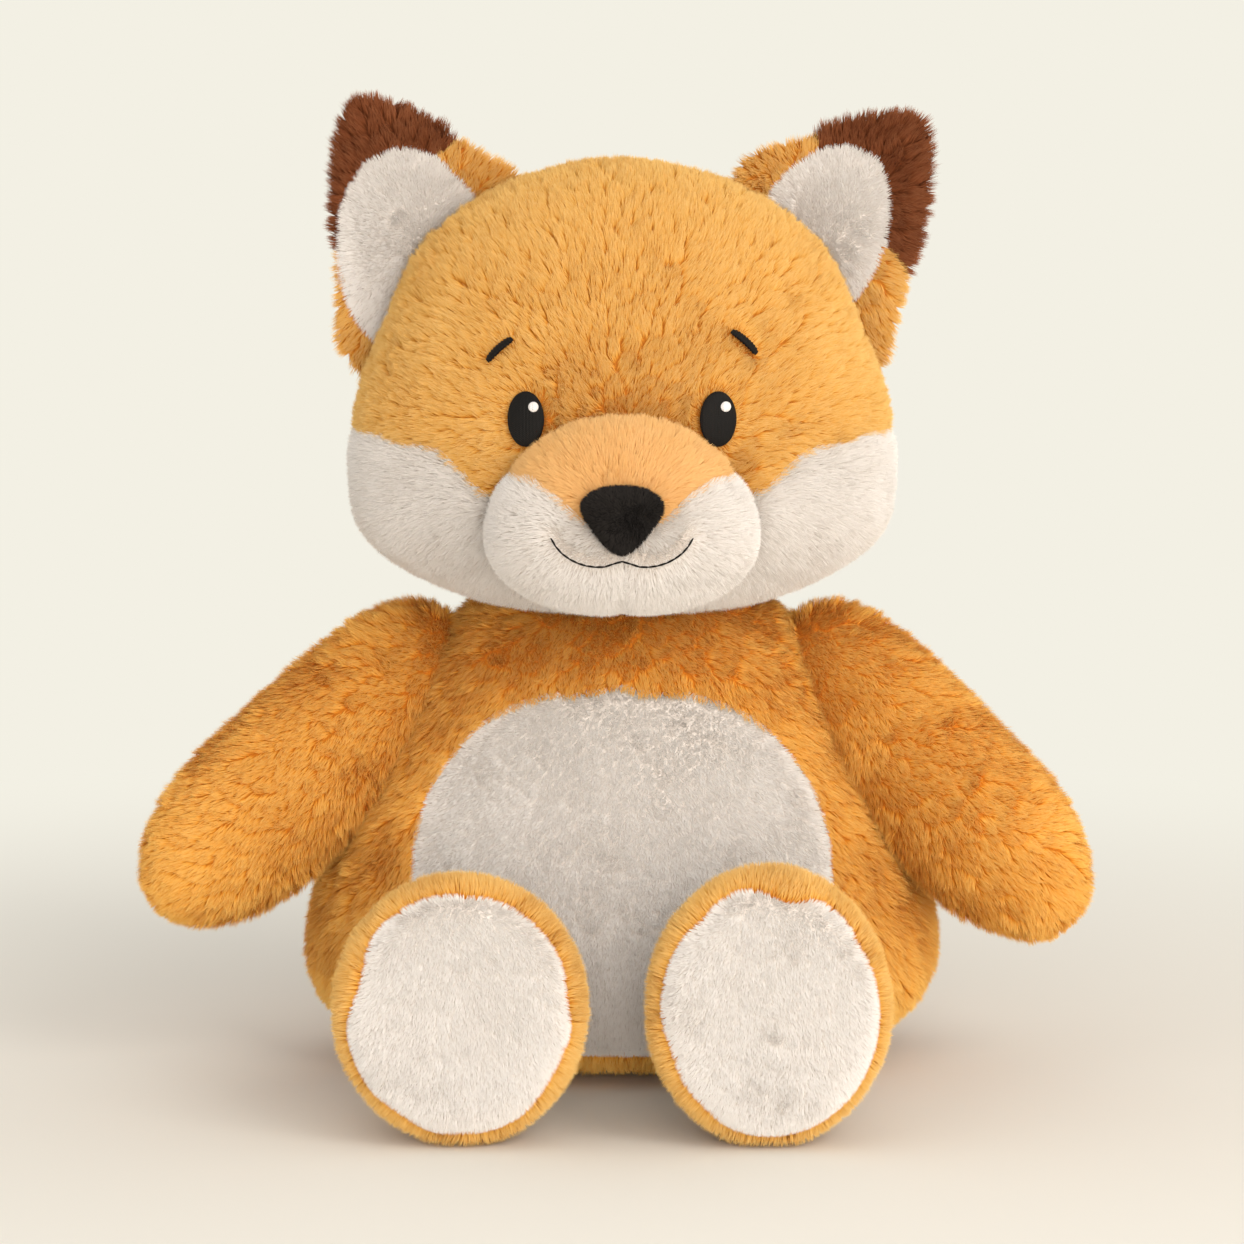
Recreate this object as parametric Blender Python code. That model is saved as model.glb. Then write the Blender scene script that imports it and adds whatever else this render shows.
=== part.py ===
"""Sitting plush fox, sewn from panels over stuffing.

Metres, +Z up. The fox faces -Y and its own left side is at +X. The origin is on the
floor under the middle of the toy. Each stuffed shape is a Form: rings stacked along an
axis, each swollen by a share of the form's widest. Cloth panels are cut from the shell
between a form and the same form drawn in by the cloth's thickness.
"""

import math

import bmesh
import bpy
from mathutils import Matrix, Vector

# Cloth and gaps
FABRIC = 0.004
CLEARANCE = 0.0003
SEAM_GAP = 0.0005
FLOOR_CUT = 0.0005
OVERRUN = 0.06

# Body
BODY_HALF_WIDTH = 0.110
BODY_FRONT = 0.077
BODY_BACK = 0.075
BODY_TOP = 0.172
BODY_SQUARENESS = 3.6
NECK_HEIGHT = 0.160
SEAT_SEAM_HEIGHT = 0.012
BELLY_HALF_WIDTH = 0.070
BELLY_HEIGHT = 0.122

# Pellet bag in the seat
BAG_HALF_WIDTH = 0.055
BAG_HALF_DEPTH = 0.040
BAG_TOP = 0.030
BAG_SQUARENESS = 3.0

# Head
HEAD_HALF_WIDTH = 0.093
HEAD_FRONT = 0.076
HEAD_BACK = 0.072
HEAD_LOW = 0.153
HEAD_HEIGHT = 0.157
HEAD_FORWARD = 0.010
HEAD_SQUARENESS = 2.3
CHEEK_LINE_HEIGHT = 0.0485
CHEEK_DIP = 0.016

# Muzzle, on the front of the head
MUZZLE_HALF_WIDTH = 0.044
MUZZLE_REACH = 0.038
MUZZLE_LOW = 0.009
MUZZLE_HEIGHT = 0.066
MUZZLE_SINK = 0.004
MUZZLE_SQUARENESS = 2.3
BRIDGE_LINE_HEIGHT = 0.0445
BRIDGE_DIP = 0.010

# Nose pad
NOSE_HALF_WIDTH = 0.015
NOSE_HEIGHT = 0.024
NOSE_THICKNESS = 0.0075
NOSE_RISE = 0.0222
NOSE_SQUARENESS = 2.4

# Eyes, brows and mouth
TRIM_THICKNESS = 0.0012
EYE_SPACING = 0.0312
EYE_RISE = 0.0727
EYE_HALF_WIDTH = 0.0060
EYE_HALF_HEIGHT = 0.0090
GLINT_RADIUS = 0.0019
GLINT_RISE = 0.0040
GLINT_SHIFT = 0.0024
GLINT_THICKNESS = 0.0006
BROW_LENGTH = 0.0112
BROW_WIDTH = 0.0024
BROW_SPACING = 0.0398
BROW_RISE_LEFT = 0.0972
BROW_RISE_RIGHT = 0.0948
BROW_SLOPE = math.radians(42)
BROW_ARCH = 0.0006
MOUTH_HALF_WIDTH = 0.0225
MOUTH_DROP = 0.0085
MOUTH_RISE = 0.0280
MOUTH_LINE_WIDTH = 0.0013

# Ears
EAR_HALF_WIDTH = 0.0435
EAR_LENGTH = 0.0560
EAR_HALF_THICKNESS = 0.0085
EAR_BASE_RADIUS = 0.0088
EAR_BASE_HALF_LENGTH = 0.033
EAR_INSET = 0.005
EAR_LIFT = 0.0014
EAR_TILT_LEFT = math.radians(55.5)
EAR_TILT_RIGHT = math.radians(43.5)
EAR_SKEW_SHARE = 0.31
EAR_TIP_LENGTH = 0.034
EAR_SEAT_SHARE = 0.80
LINING_HALF_WIDTH_LEFT = 0.0235
LINING_HALF_WIDTH_RIGHT = 0.0280
LINING_TOP_LEFT = 0.0345
LINING_TOP_RIGHT = 0.0370
LINING_SHIFT_LEFT = -0.004
LINING_SHIFT_RIGHT = 0.004
LINING_DEPTH = 0.006
EAR_SQUARENESS = 2.2
EAR_ROOT_SHARE = 0.75
EAR_LEAN_SHARE = 0.02

# Arms
ARM_HALF_WIDTH = 0.0295
ARM_HALF_DEPTH = 0.0245
ARM_LENGTH = 0.123
ARM_ROOT = 0.019
ARM_DROP_LEFT = math.radians(46.5)
ARM_DROP_RIGHT = math.radians(43)
ARM_FORWARD = math.radians(15)
SHOULDER_RADIUS = 0.0255
SHOULDER_HEIGHT = 0.139
SHOULDER_FORWARD = math.radians(6)
SHOULDER_INSET = 0.001
STUFFING_HOLE_RADIUS = 0.008
ARM_SQUARENESS = 2.4

# Legs
FOOT_HALF_WIDTH_LEFT = 0.0390
FOOT_HALF_WIDTH_RIGHT = 0.0405
FOOT_UP_LEFT = 0.0465
FOOT_UP_RIGHT = 0.0435
FOOT_DOWN = 0.0435
LEG_LENGTH = 0.090
LEG_SQUARENESS = 8.0
LEG_ROOT = 0.008
HIP_RADIUS = 0.029
HIP_HEIGHT = 0.0415
HIP_SPACING_LEFT = 0.0485
HIP_SPACING_RIGHT = 0.0535
HIP_INSET = 0.002
SOLE_HALF_WIDTH_LEFT = 0.0325
SOLE_HALF_WIDTH_RIGHT = 0.0345
SOLE_HALF_HEIGHT_LEFT = 0.0405
SOLE_HALF_HEIGHT_RIGHT = 0.0375
SOLE_SQUARENESS = 2.2
SOLE_DEPTH_SHARE = 0.12

# Tail
TAIL_RADIUS = 0.024
TAIL_LENGTH = 0.100
TAIL_ROOT = 0.012
TAIL_RISE = math.radians(34)
TAIL_BALL_RADIUS = 0.0160
TAIL_HEIGHT = 0.044
TAIL_TIP_SHARE = 0.62
TAIL_SQUARENESS = 2.1

# Facet counts round and along: outer forms, inner forms, balls and rods, outlines
BODY_FACETS = (24, 12)
HEAD_FACETS = (24, 13)
LIMB_FACETS = (16, 9)
SMALL_FACETS = (16, 9)
INNER_FACETS = (12, 6)
SOCKET_FACETS = (18, 6)
OUTLINE_POINTS = 18
CURVE_STEPS = 2
SHARP_ANGLE = math.radians(50)

# Rows of shares: height, side, front, back
BODY_SHARES = (
    (0.00, 1.10, 1.12, 1.10),
    (0.09, 1.10, 1.10, 1.10),
    (0.31, 1.00, 1.00, 1.00),
    (0.58, 0.83, 0.86, 0.84),
    (0.76, 0.71, 0.76, 0.72),
    (0.93, 0.62, 0.66, 0.64),
    (1.00, 0.58, 0.62, 0.60),
)
HEAD_SHARES = (
    (0.00, 1.10, 1.00, 1.06),
    (0.15, 1.16, 1.04, 1.10),
    (0.30, 1.06, 1.02, 1.04),
    (0.52, 0.96, 0.98, 0.98),
    (0.65, 0.90, 0.94, 0.94),
    (0.85, 0.875, 0.86, 0.88),
    (0.95, 0.80, 0.80, 0.80),
    (1.00, 0.68, 0.70, 0.70),
)
MUZZLE_SHARES = (
    (0.00, 1.10, 0.90, 1.00),
    (0.30, 1.06, 1.00, 1.00),
    (0.60, 0.96, 1.00, 1.00),
    (0.85, 0.84, 0.92, 1.00),
    (1.00, 0.76, 0.85, 1.00),
)
NOSE_SHARES = (
    (0.00, 0.45, 0.75, 1.00),
    (0.35, 0.70, 0.95, 1.00),
    (0.70, 1.00, 1.00, 1.00),
    (1.00, 1.08, 0.95, 1.00),
)
ARM_SHARES = (
    (0.00, 1.12, 1.14, 1.14),
    (0.20, 1.00, 1.06, 1.06),
    (0.50, 0.98, 1.00, 1.00),
    (0.75, 1.05, 1.02, 1.02),
    (1.00, 1.02, 0.98, 0.98),
)
LEG_SHARES = (
    (0.00, 0.52, 0.50, 0.50),
    (0.22, 0.62, 0.56, 0.62),
    (0.44, 0.76, 0.70, 0.78),
    (0.62, 0.90, 0.87, 0.93),
    (0.78, 0.99, 0.98, 1.00),
    (0.90, 1.00, 1.00, 1.00),
    (1.00, 0.98, 0.98, 0.97),
)
TAIL_SHARES = (
    (0.00, 0.60, 0.60, 0.60),
    (0.20, 0.64, 0.64, 0.64),
    (0.45, 0.84, 0.84, 0.84),
    (0.70, 1.02, 1.02, 1.02),
    (0.90, 0.84, 0.84, 0.84),
    (1.00, 0.62, 0.62, 0.62),
)
EAR_SHARES = (
    (0.00, 0.98, 0.40, 0.40),
    (0.41, 1.00, 0.55, 0.55),
    (0.56, 0.81, 0.86, 0.86),
    (0.72, 0.67, 1.00, 1.00),
    (0.88, 0.53, 1.00, 1.00),
    (1.00, 0.39, 0.90, 0.90),
)
EVEN_SHARES = (
    (0.00, 1.00, 1.00, 1.00),
    (1.00, 1.00, 1.00, 1.00),
)

# Outlines as shares of half width and height, from one side to the middle or back: the
# belly, the line where orange meets white on the cheek, the ear's lining, the line below
# the muzzle's bridge, the mouth
BELLY_EDGE_SHARES = (
    (0.82, -0.20), (0.90, 0.10), (0.98, 0.32), (1.00, 0.50),
    (0.95, 0.66), (0.82, 0.80), (0.62, 0.91), (0.34, 0.98), (0.00, 1.00),
)
CHEEK_EDGE_SHARES = (
    (0.00, -0.10), (0.44, -0.10), (0.50, 0.10), (0.58, 0.55),
    (0.68, 0.82), (0.85, 0.92), (1.00, 1.00), (1.60, 1.10),
)
LINING_EDGE_SHARES = (
    (0.88, -0.35), (1.00, 0.12), (0.86, 0.52), (0.66, 0.75), (0.38, 0.92), (0.00, 1.00),
)
BRIDGE_EDGE_SHARES = (
    (0.00, -0.20), (0.22, -0.20), (0.38, 0.20), (0.52, 0.65),
    (0.70, 1.00), (0.86, 0.80), (1.00, 0.45), (1.60, -0.30),
)
MOUTH_SHARES = (
    (-1.00, 0.00), (-0.90, -0.42), (-0.74, -0.76), (-0.52, -1.00), (-0.25, -1.04),
    (0.00, -0.82), (0.25, -1.04), (0.52, -1.00), (0.74, -0.76), (0.90, -0.42), (1.00, 0.00),
)

# Finishes: sRGB colour and roughness
FINISHES = {
    "orange_plush": ("E6A045", 0.95),
    "light_orange_plush": ("EDB463", 0.95),
    "white_plush": ("E4DBD2", 0.95),
    "brown_plush": ("744022", 0.95),
    "polyester_fibre": ("F2F0EC", 1.0),
    "pellet_bag_cloth": ("CFC6B4", 0.9),
    "black_felt": ("201E1E", 0.9),
    "black_thread": ("1C1A1A", 0.5),
    "white_thread": ("F4F2EE", 0.5),
}


def clear_scene():
    for item in list(bpy.data.objects):
        bpy.data.objects.remove(item, do_unlink=True)


def linear(hex_colour):
    """Turn an sRGB hex colour into the linear values that a shader takes."""
    values = []
    for start in (0, 2, 4):
        level = int(hex_colour[start:start + 2], 16) / 255
        low_part = level / 12.92
        high_part = ((level + 0.055) / 1.055) ** 2.4
        values.append(low_part if level <= 0.04045 else high_part)
    return (*values, 1.0)


def finish(name):
    """The Principled material of one finish, made once."""
    material = bpy.data.materials.get(name)
    if material is None:
        colour, roughness = FINISHES[name]
        material = bpy.data.materials.new(name)
        material.use_nodes = True
        shader = material.node_tree.nodes["Principled BSDF"]
        shader.inputs["Base Color"].default_value = linear(colour)
        shader.inputs["Roughness"].default_value = roughness
        shader.inputs["Metallic"].default_value = 0.0
        material.diffuse_color = linear(colour)
    return material


def add_object(bm, name):
    """Put a bmesh into the scene as a smooth-shaded object."""
    bmesh.ops.recalc_face_normals(bm, faces=bm.faces)
    mesh = bpy.data.meshes.new(name)
    bm.to_mesh(mesh)
    bm.free()
    mesh.shade_smooth()
    mesh.set_sharp_from_angle(angle=SHARP_ANGLE)
    item = bpy.data.objects.new(name, mesh)
    bpy.context.scene.collection.objects.link(item)
    return item


def as_guide(item):
    """Mark an object as a cutter, which is no piece of the toy."""
    item.hide_render = True
    item.display_type = "WIRE"
    return item


def boolean(item, other, operation):
    step = item.modifiers.new(f"{operation.lower()} {other.name}", "BOOLEAN")
    step.operation = operation
    step.solver = "EXACT"
    step.object = other


def cut(item, *others):
    for other in others:
        boolean(item, other, "DIFFERENCE")


def keep(item, *others):
    for other in others:
        boolean(item, other, "INTERSECT")


def join(item, *others):
    for other in others:
        boolean(item, other, "UNION")


def share_at(rows, height, column):
    """Read a column of a share table at any height, on a smooth curve through its rows."""
    last = len(rows) - 1
    index = 0
    while index < last - 1 and height > rows[index + 1][0]:
        index += 1
    before, after = rows[index], rows[index + 1]
    span = after[0] - before[0]
    along = min(max((height - before[0]) / span, 0.0), 1.0)

    def slope(row):
        below, above = rows[max(row - 1, 0)], rows[min(row + 1, last)]
        return (above[column] - below[column]) / (above[0] - below[0])

    square, cube = along ** 2, along ** 3
    return (
        before[column] * (2 * cube - 3 * square + 1)
        + after[column] * (3 * square - 2 * cube)
        + slope(index) * span * (cube - 2 * square + along)
        + slope(index + 1) * span * (cube - square)
    )


def smooth_line(points):
    """Put points between the given ones, on a smooth curve through them all."""
    line = []
    last = len(points) - 1
    for index in range(last):
        a, b = points[max(index - 1, 0)], points[index]
        c, d = points[index + 1], points[min(index + 2, last)]
        for step in range(CURVE_STEPS):
            t = step / CURVE_STEPS
            line.append(tuple(
                0.5 * (2 * q + (r - p) * t + (2 * p - 5 * q + 4 * r - s) * t ** 2
                       + (3 * q - p - 3 * r + s) * t ** 3)
                for p, q, r, s in zip(a, b, c, d)
            ))
    line.append(tuple(points[-1]))
    return line


class Form:
    """A stuffed shape whose rings are stacked along its own z axis."""

    def __init__(self, place, low, high, half_width, front, back, shares, squareness):
        self.place = place
        self.low = low
        self.high = high
        self.half_width = half_width
        self.front = front
        self.back = back
        self.shares = shares
        self.squareness = squareness

    def mould(self, unit, growth=0.0):
        """Move a point of the unit sphere to its place on the form."""
        along = max(min(unit.z, 1.0), -1.0)
        ring = (1 - abs(along) ** self.squareness) ** (1 / self.squareness)
        reach = math.hypot(unit.x, unit.y)
        side = unit.x / reach if reach else 0.0
        deep = unit.y / reach if reach else 0.0
        height = (along + 1) / 2
        depth = self.front if deep < 0 else self.back
        column = 2 if deep < 0 else 3
        x = side * ring * (self.half_width * share_at(self.shares, height, 1) + growth)
        y = deep * ring * (depth * share_at(self.shares, height, column) + growth)
        middle, half = (self.low + self.high) / 2, (self.high - self.low) / 2
        return self.place @ Vector((x, y, middle + along * (half + growth)))

    def surface(self, height, around, growth=0.0):
        """The point at a height in the form's own frame and an angle from its front."""
        along = 2 * (height - self.low) / (self.high - self.low) - 1
        ring = math.sqrt(max(1 - along ** 2, 0.0))
        unit = Vector((ring * math.sin(around), -ring * math.cos(around), along))
        return self.mould(unit, growth)

    def solid(self, name, facets, growth=0.0):
        bm = bmesh.new()
        bmesh.ops.create_uvsphere(
            bm, u_segments=facets[0], v_segments=facets[1], radius=1.0
        )
        half_step = Matrix.Rotation(math.pi / facets[0], 4, "Z")
        for vert in bm.verts:
            vert.co = self.mould(half_step @ vert.co, growth)
        bmesh.ops.triangulate(bm, faces=bm.faces, quad_method="FIXED")
        return add_object(bm, name)

    def guide(self, name, facets, growth=0.0):
        return as_guide(self.solid(name, facets, growth))


def prism(name, outline, start, end, place=None):
    """A guide block: an outline in x and z, run along y from start to end."""
    bm = bmesh.new()
    verts = [bm.verts.new((x, start, z)) for x, z in outline]
    face = bm.faces.new(verts)
    extruded = bmesh.ops.extrude_face_region(bm, geom=[face])
    moved = [v for v in extruded["geom"] if isinstance(v, bmesh.types.BMVert)]
    bmesh.ops.translate(bm, verts=moved, vec=(0, end - start, 0))
    if place is not None:
        bmesh.ops.transform(bm, matrix=place, verts=bm.verts)
    return as_guide(add_object(bm, name))


def block(name, low, high, place=None):
    outline = ((low[0], low[2]), (high[0], low[2]), (high[0], high[2]), (low[0], high[2]))
    return prism(name, outline, low[1], high[1], place)


def ball(name, centre, radius, facets, pole):
    """A guide sphere with its poles along a hinge's axis."""
    bm = bmesh.new()
    bmesh.ops.create_uvsphere(
        bm, u_segments=facets[0], v_segments=facets[1], radius=radius
    )
    turn = Vector((0, 0, 1)).rotation_difference(pole).to_matrix().to_4x4()
    bmesh.ops.transform(bm, matrix=Matrix.Translation(centre) @ turn, verts=bm.verts)
    return as_guide(add_object(bm, name))


def rod(name, place, radius, half_length, segments):
    """A guide cylinder along the x axis of its place."""
    bm = bmesh.new()
    bmesh.ops.create_cone(
        bm, cap_ends=True, segments=segments, radius1=radius, radius2=radius,
        depth=2 * half_length,
    )
    turn = Matrix.Rotation(math.pi / 2, 4, "Y")
    bmesh.ops.transform(bm, matrix=place @ turn, verts=bm.verts)
    return as_guide(add_object(bm, name))


def running_radius(radius, segments):
    """The radius of a faceted socket in which a faceted ball or rod can turn."""
    return (radius + CLEARANCE) / math.cos(math.pi / segments)


def oval(centre_x, centre_z, half_width, half_height, squareness=2):
    points = []
    for index in range(OUTLINE_POINTS):
        angle = 2 * math.pi * index / OUTLINE_POINTS
        side, rise = math.cos(angle), math.sin(angle)
        points.append((
            centre_x + half_width * math.copysign(abs(side) ** (2 / squareness), side),
            centre_z + half_height * math.copysign(abs(rise) ** (2 / squareness), rise),
        ))
    return points


def stroke(points, width):
    """The outline of a line of stitches of one width."""
    left, right = [], []
    last = len(points) - 1
    for index, (x, z) in enumerate(points):
        before, after = points[max(index - 1, 0)], points[min(index + 1, last)]
        run, rise = after[0] - before[0], after[1] - before[1]
        length = math.hypot(run, rise)
        across_x, across_z = -rise / length * width / 2, run / length * width / 2
        left.append((x + across_x, z + across_z))
        right.append((x - across_x, z - across_z))
    return left + right[::-1]


def mirrored(points):
    """Add the other half of an outline given from one side to the middle."""
    return list(points) + [(-x, z) for x, z in reversed(points) if x]


def joint_frame(name, centre):
    """An empty on a joint's axis, which carries the pieces that move."""
    empty = bpy.data.objects.new(name, None)
    empty.empty_display_size = FABRIC
    empty.location = centre
    bpy.context.scene.collection.objects.link(empty)
    return empty


def carry(empty, items):
    """Parent items to an empty and leave them where they are."""
    for item in items:
        item.parent = empty
        item.matrix_parent_inverse = Matrix.Translation(empty.location).inverted()


def dress(items, finish_name):
    for item in items:
        item.data.materials.append(finish(finish_name))


def frame_along(origin, direction, front):
    """A place whose z axis is the direction and whose -y axis leans towards front."""
    z_axis = direction.normalized()
    y_axis = -(front - front.project(z_axis)).normalized()
    x_axis = y_axis.cross(z_axis)
    turn = Matrix((x_axis, y_axis, z_axis)).transposed().to_4x4()
    return Matrix.Translation(origin) @ turn


UPRIGHT = Matrix.Identity(4)
FRONT = Vector((0, -1, 0))
SIDES = (("left", 1), ("right", -1))
BROW_RISES = {"left": BROW_RISE_LEFT, "right": BROW_RISE_RIGHT}
ARM_DROPS = {"left": ARM_DROP_LEFT, "right": ARM_DROP_RIGHT}
EAR_TILTS = {"left": EAR_TILT_LEFT, "right": EAR_TILT_RIGHT}
LINING_HALF_WIDTHS = {"left": LINING_HALF_WIDTH_LEFT, "right": LINING_HALF_WIDTH_RIGHT}
LINING_TOPS = {"left": LINING_TOP_LEFT, "right": LINING_TOP_RIGHT}
LINING_SHIFTS = {"left": LINING_SHIFT_LEFT, "right": LINING_SHIFT_RIGHT}
HIP_SPACINGS = {"left": HIP_SPACING_LEFT, "right": HIP_SPACING_RIGHT}
FOOT_HALF_WIDTHS = {"left": FOOT_HALF_WIDTH_LEFT, "right": FOOT_HALF_WIDTH_RIGHT}
FOOT_UPS = {"left": FOOT_UP_LEFT, "right": FOOT_UP_RIGHT}
SOLE_HALF_WIDTHS = {"left": SOLE_HALF_WIDTH_LEFT, "right": SOLE_HALF_WIDTH_RIGHT}
SOLE_HALF_HEIGHTS = {"left": SOLE_HALF_HEIGHT_LEFT, "right": SOLE_HALF_HEIGHT_RIGHT}

body_form = Form(
    UPRIGHT, -FLOOR_CUT, BODY_TOP, BODY_HALF_WIDTH, BODY_FRONT, BODY_BACK,
    BODY_SHARES, BODY_SQUARENESS,
)
head_form = Form(
    Matrix.Translation((0, -HEAD_FORWARD, HEAD_LOW)), 0, HEAD_HEIGHT, HEAD_HALF_WIDTH,
    HEAD_FRONT, HEAD_BACK, HEAD_SHARES, HEAD_SQUARENESS,
)
muzzle_form = Form(
    Matrix.Translation((0, -HEAD_FORWARD - HEAD_FRONT + MUZZLE_SINK, HEAD_LOW)),
    MUZZLE_LOW, MUZZLE_LOW + MUZZLE_HEIGHT, MUZZLE_HALF_WIDTH, MUZZLE_REACH,
    MUZZLE_REACH, MUZZLE_SHARES, MUZZLE_SQUARENESS,
)


def shoulder_centre(side):
    around = side * (math.pi / 2 - SHOULDER_FORWARD)
    return body_form.surface(SHOULDER_HEIGHT, around, -SHOULDER_INSET)


def hip_centre(label, side):
    """The hip, on the body's front above the middle of the foot."""
    share = share_at(BODY_SHARES, HIP_HEIGHT / BODY_TOP, 1)
    around = side * math.asin(HIP_SPACINGS[label] / (BODY_HALF_WIDTH * share))
    return body_form.surface(HIP_HEIGHT, around, -HIP_INSET)


def tail_centre():
    return body_form.surface(TAIL_HEIGHT, math.pi)


def sockets():
    """Guide balls for the seats of the arms, legs and tail in the body."""
    found = []
    for label, side in SIDES:
        found.append(ball(
            f"guide_shoulder_socket_{label}", shoulder_centre(side),
            running_radius(SHOULDER_RADIUS, SOCKET_FACETS[0]), SOCKET_FACETS,
            Vector((0, 1, 0)),
        ))
        found.append(ball(
            f"guide_hip_socket_{label}", hip_centre(label, side),
            running_radius(HIP_RADIUS, SOCKET_FACETS[0]), SOCKET_FACETS,
            Vector((1, 0, 0)),
        ))
    found.append(ball(
        "guide_tail_socket", tail_centre(),
        running_radius(TAIL_BALL_RADIUS, SOCKET_FACETS[0]), SOCKET_FACETS,
        Vector((0, 0, 1)),
    ))
    return found


def make_body():
    wide = BODY_HALF_WIDTH + OVERRUN
    front, back = -BODY_FRONT - OVERRUN, BODY_BACK + OVERRUN
    half_gap = SEAM_GAP / 2
    seat_top, panel_low = SEAT_SEAM_HEIGHT - half_gap, SEAT_SEAM_HEIGHT + half_gap
    seats = sockets()
    cavity = body_form.guide("guide_body_cavity", INNER_FACETS, -FABRIC)

    belly_edge = smooth_line([
        (x * BELLY_HALF_WIDTH, SEAT_SEAM_HEIGHT + z * BELLY_HEIGHT)
        for x, z in BELLY_EDGE_SHARES
    ])
    inner_edge = [(max(x - half_gap, 0), z - half_gap) for x, z in belly_edge]
    outer_edge = [(x + half_gap if x else 0, z + half_gap) for x, z in belly_edge]
    belly_inside = prism("guide_belly", mirrored(inner_edge), front, -OVERRUN / 2)
    belly_hole = prism("guide_belly_hole", mirrored(outer_edge), front, -OVERRUN / 2)

    front_space = block(
        "guide_front_space", (-wide, front, panel_low), (wide, -half_gap, NECK_HEIGHT)
    )
    back_space = block(
        "guide_back_space", (-wide, half_gap, panel_low), (wide, back, NECK_HEIGHT)
    )
    seat_space = block("guide_seat_space", (-wide, front, 0), (wide, back, seat_top))
    fill_space = block(
        "guide_fill_space", (-wide, front, -OVERRUN), (wide, back, NECK_HEIGHT)
    )

    front_panel = body_form.solid("body_front_panel", BODY_FACETS)
    keep(front_panel, front_space)
    cut(front_panel, belly_hole, cavity, *seats)
    belly_panel = body_form.solid("belly_panel", BODY_FACETS)
    keep(belly_panel, front_space, belly_inside)
    cut(belly_panel, cavity, *seats)
    back_panel = body_form.solid("body_back_panel", BODY_FACETS)
    keep(back_panel, back_space)
    cut(back_panel, cavity, *seats)
    seat_panel = body_form.solid("seat_panel", BODY_FACETS)
    keep(seat_panel, seat_space)
    cut(seat_panel, cavity, *seats)

    bag_form = Form(
        UPRIGHT, -BAG_TOP, BAG_TOP, BAG_HALF_WIDTH, BAG_HALF_DEPTH, BAG_HALF_DEPTH,
        EVEN_SHARES, BAG_SQUARENESS,
    )
    fill_skin = body_form.guide(
        "guide_body_inside", INNER_FACETS, -FABRIC - CLEARANCE
    )
    bag = bag_form.solid("pellet_bag", INNER_FACETS)
    keep(bag, fill_skin)
    bag_room = bag_form.guide("guide_bag_room", INNER_FACETS, CLEARANCE)
    stuffing = body_form.solid("body_stuffing", INNER_FACETS, -FABRIC - CLEARANCE)
    keep(stuffing, fill_space)
    cut(stuffing, bag_room, *seats)

    dress([front_panel, back_panel, seat_panel], "orange_plush")
    dress([belly_panel], "white_plush")
    dress([stuffing], "polyester_fibre")
    dress([bag], "pellet_bag_cloth")


def arm_parts(label, side, keepouts):
    """One arm: a sleeve and its stuffing, with a ball end in the shoulder's seat."""
    centre = shoulder_centre(side)
    drop = ARM_DROPS[label]
    direction = Vector((
        side * math.cos(drop) * math.cos(ARM_FORWARD),
        -math.sin(ARM_FORWARD),
        -math.sin(drop) * math.cos(ARM_FORWARD),
    ))
    place = frame_along(centre, direction, FRONT)
    arm_form = Form(
        place, -ARM_ROOT, ARM_LENGTH, ARM_HALF_WIDTH, ARM_HALF_DEPTH, ARM_HALF_DEPTH,
        ARM_SHARES, ARM_SQUARENESS,
    )
    pole = Vector((0, 1, 0))

    sleeve = arm_form.solid(f"arm_sleeve_{label}", LIMB_FACETS)
    cut(sleeve, keepouts[0])
    join(sleeve, ball(f"guide_arm_root_{label}", centre, SHOULDER_RADIUS, SOCKET_FACETS, pole))
    hollow = arm_form.guide(f"guide_arm_hollow_{label}", INNER_FACETS, -FABRIC)
    cut(hollow, keepouts[1])
    hole = rod(
        f"guide_arm_hole_{label}", frame_along(centre, Vector((0, 0, 1)), FRONT),
        STUFFING_HOLE_RADIUS, SHOULDER_RADIUS, SOCKET_FACETS[0],
    )
    hole.data.transform(Matrix.Translation((-side * SHOULDER_RADIUS / 2, 0, 0)))
    cut(sleeve, hollow, hole)
    stuffing = arm_form.solid(f"arm_stuffing_{label}", INNER_FACETS, -FABRIC - CLEARANCE)
    cut(stuffing, keepouts[2])
    dress([sleeve], "orange_plush")
    dress([stuffing], "polyester_fibre")
    carry(joint_frame(f"shoulder_{label}", centre), [sleeve, stuffing])


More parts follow.
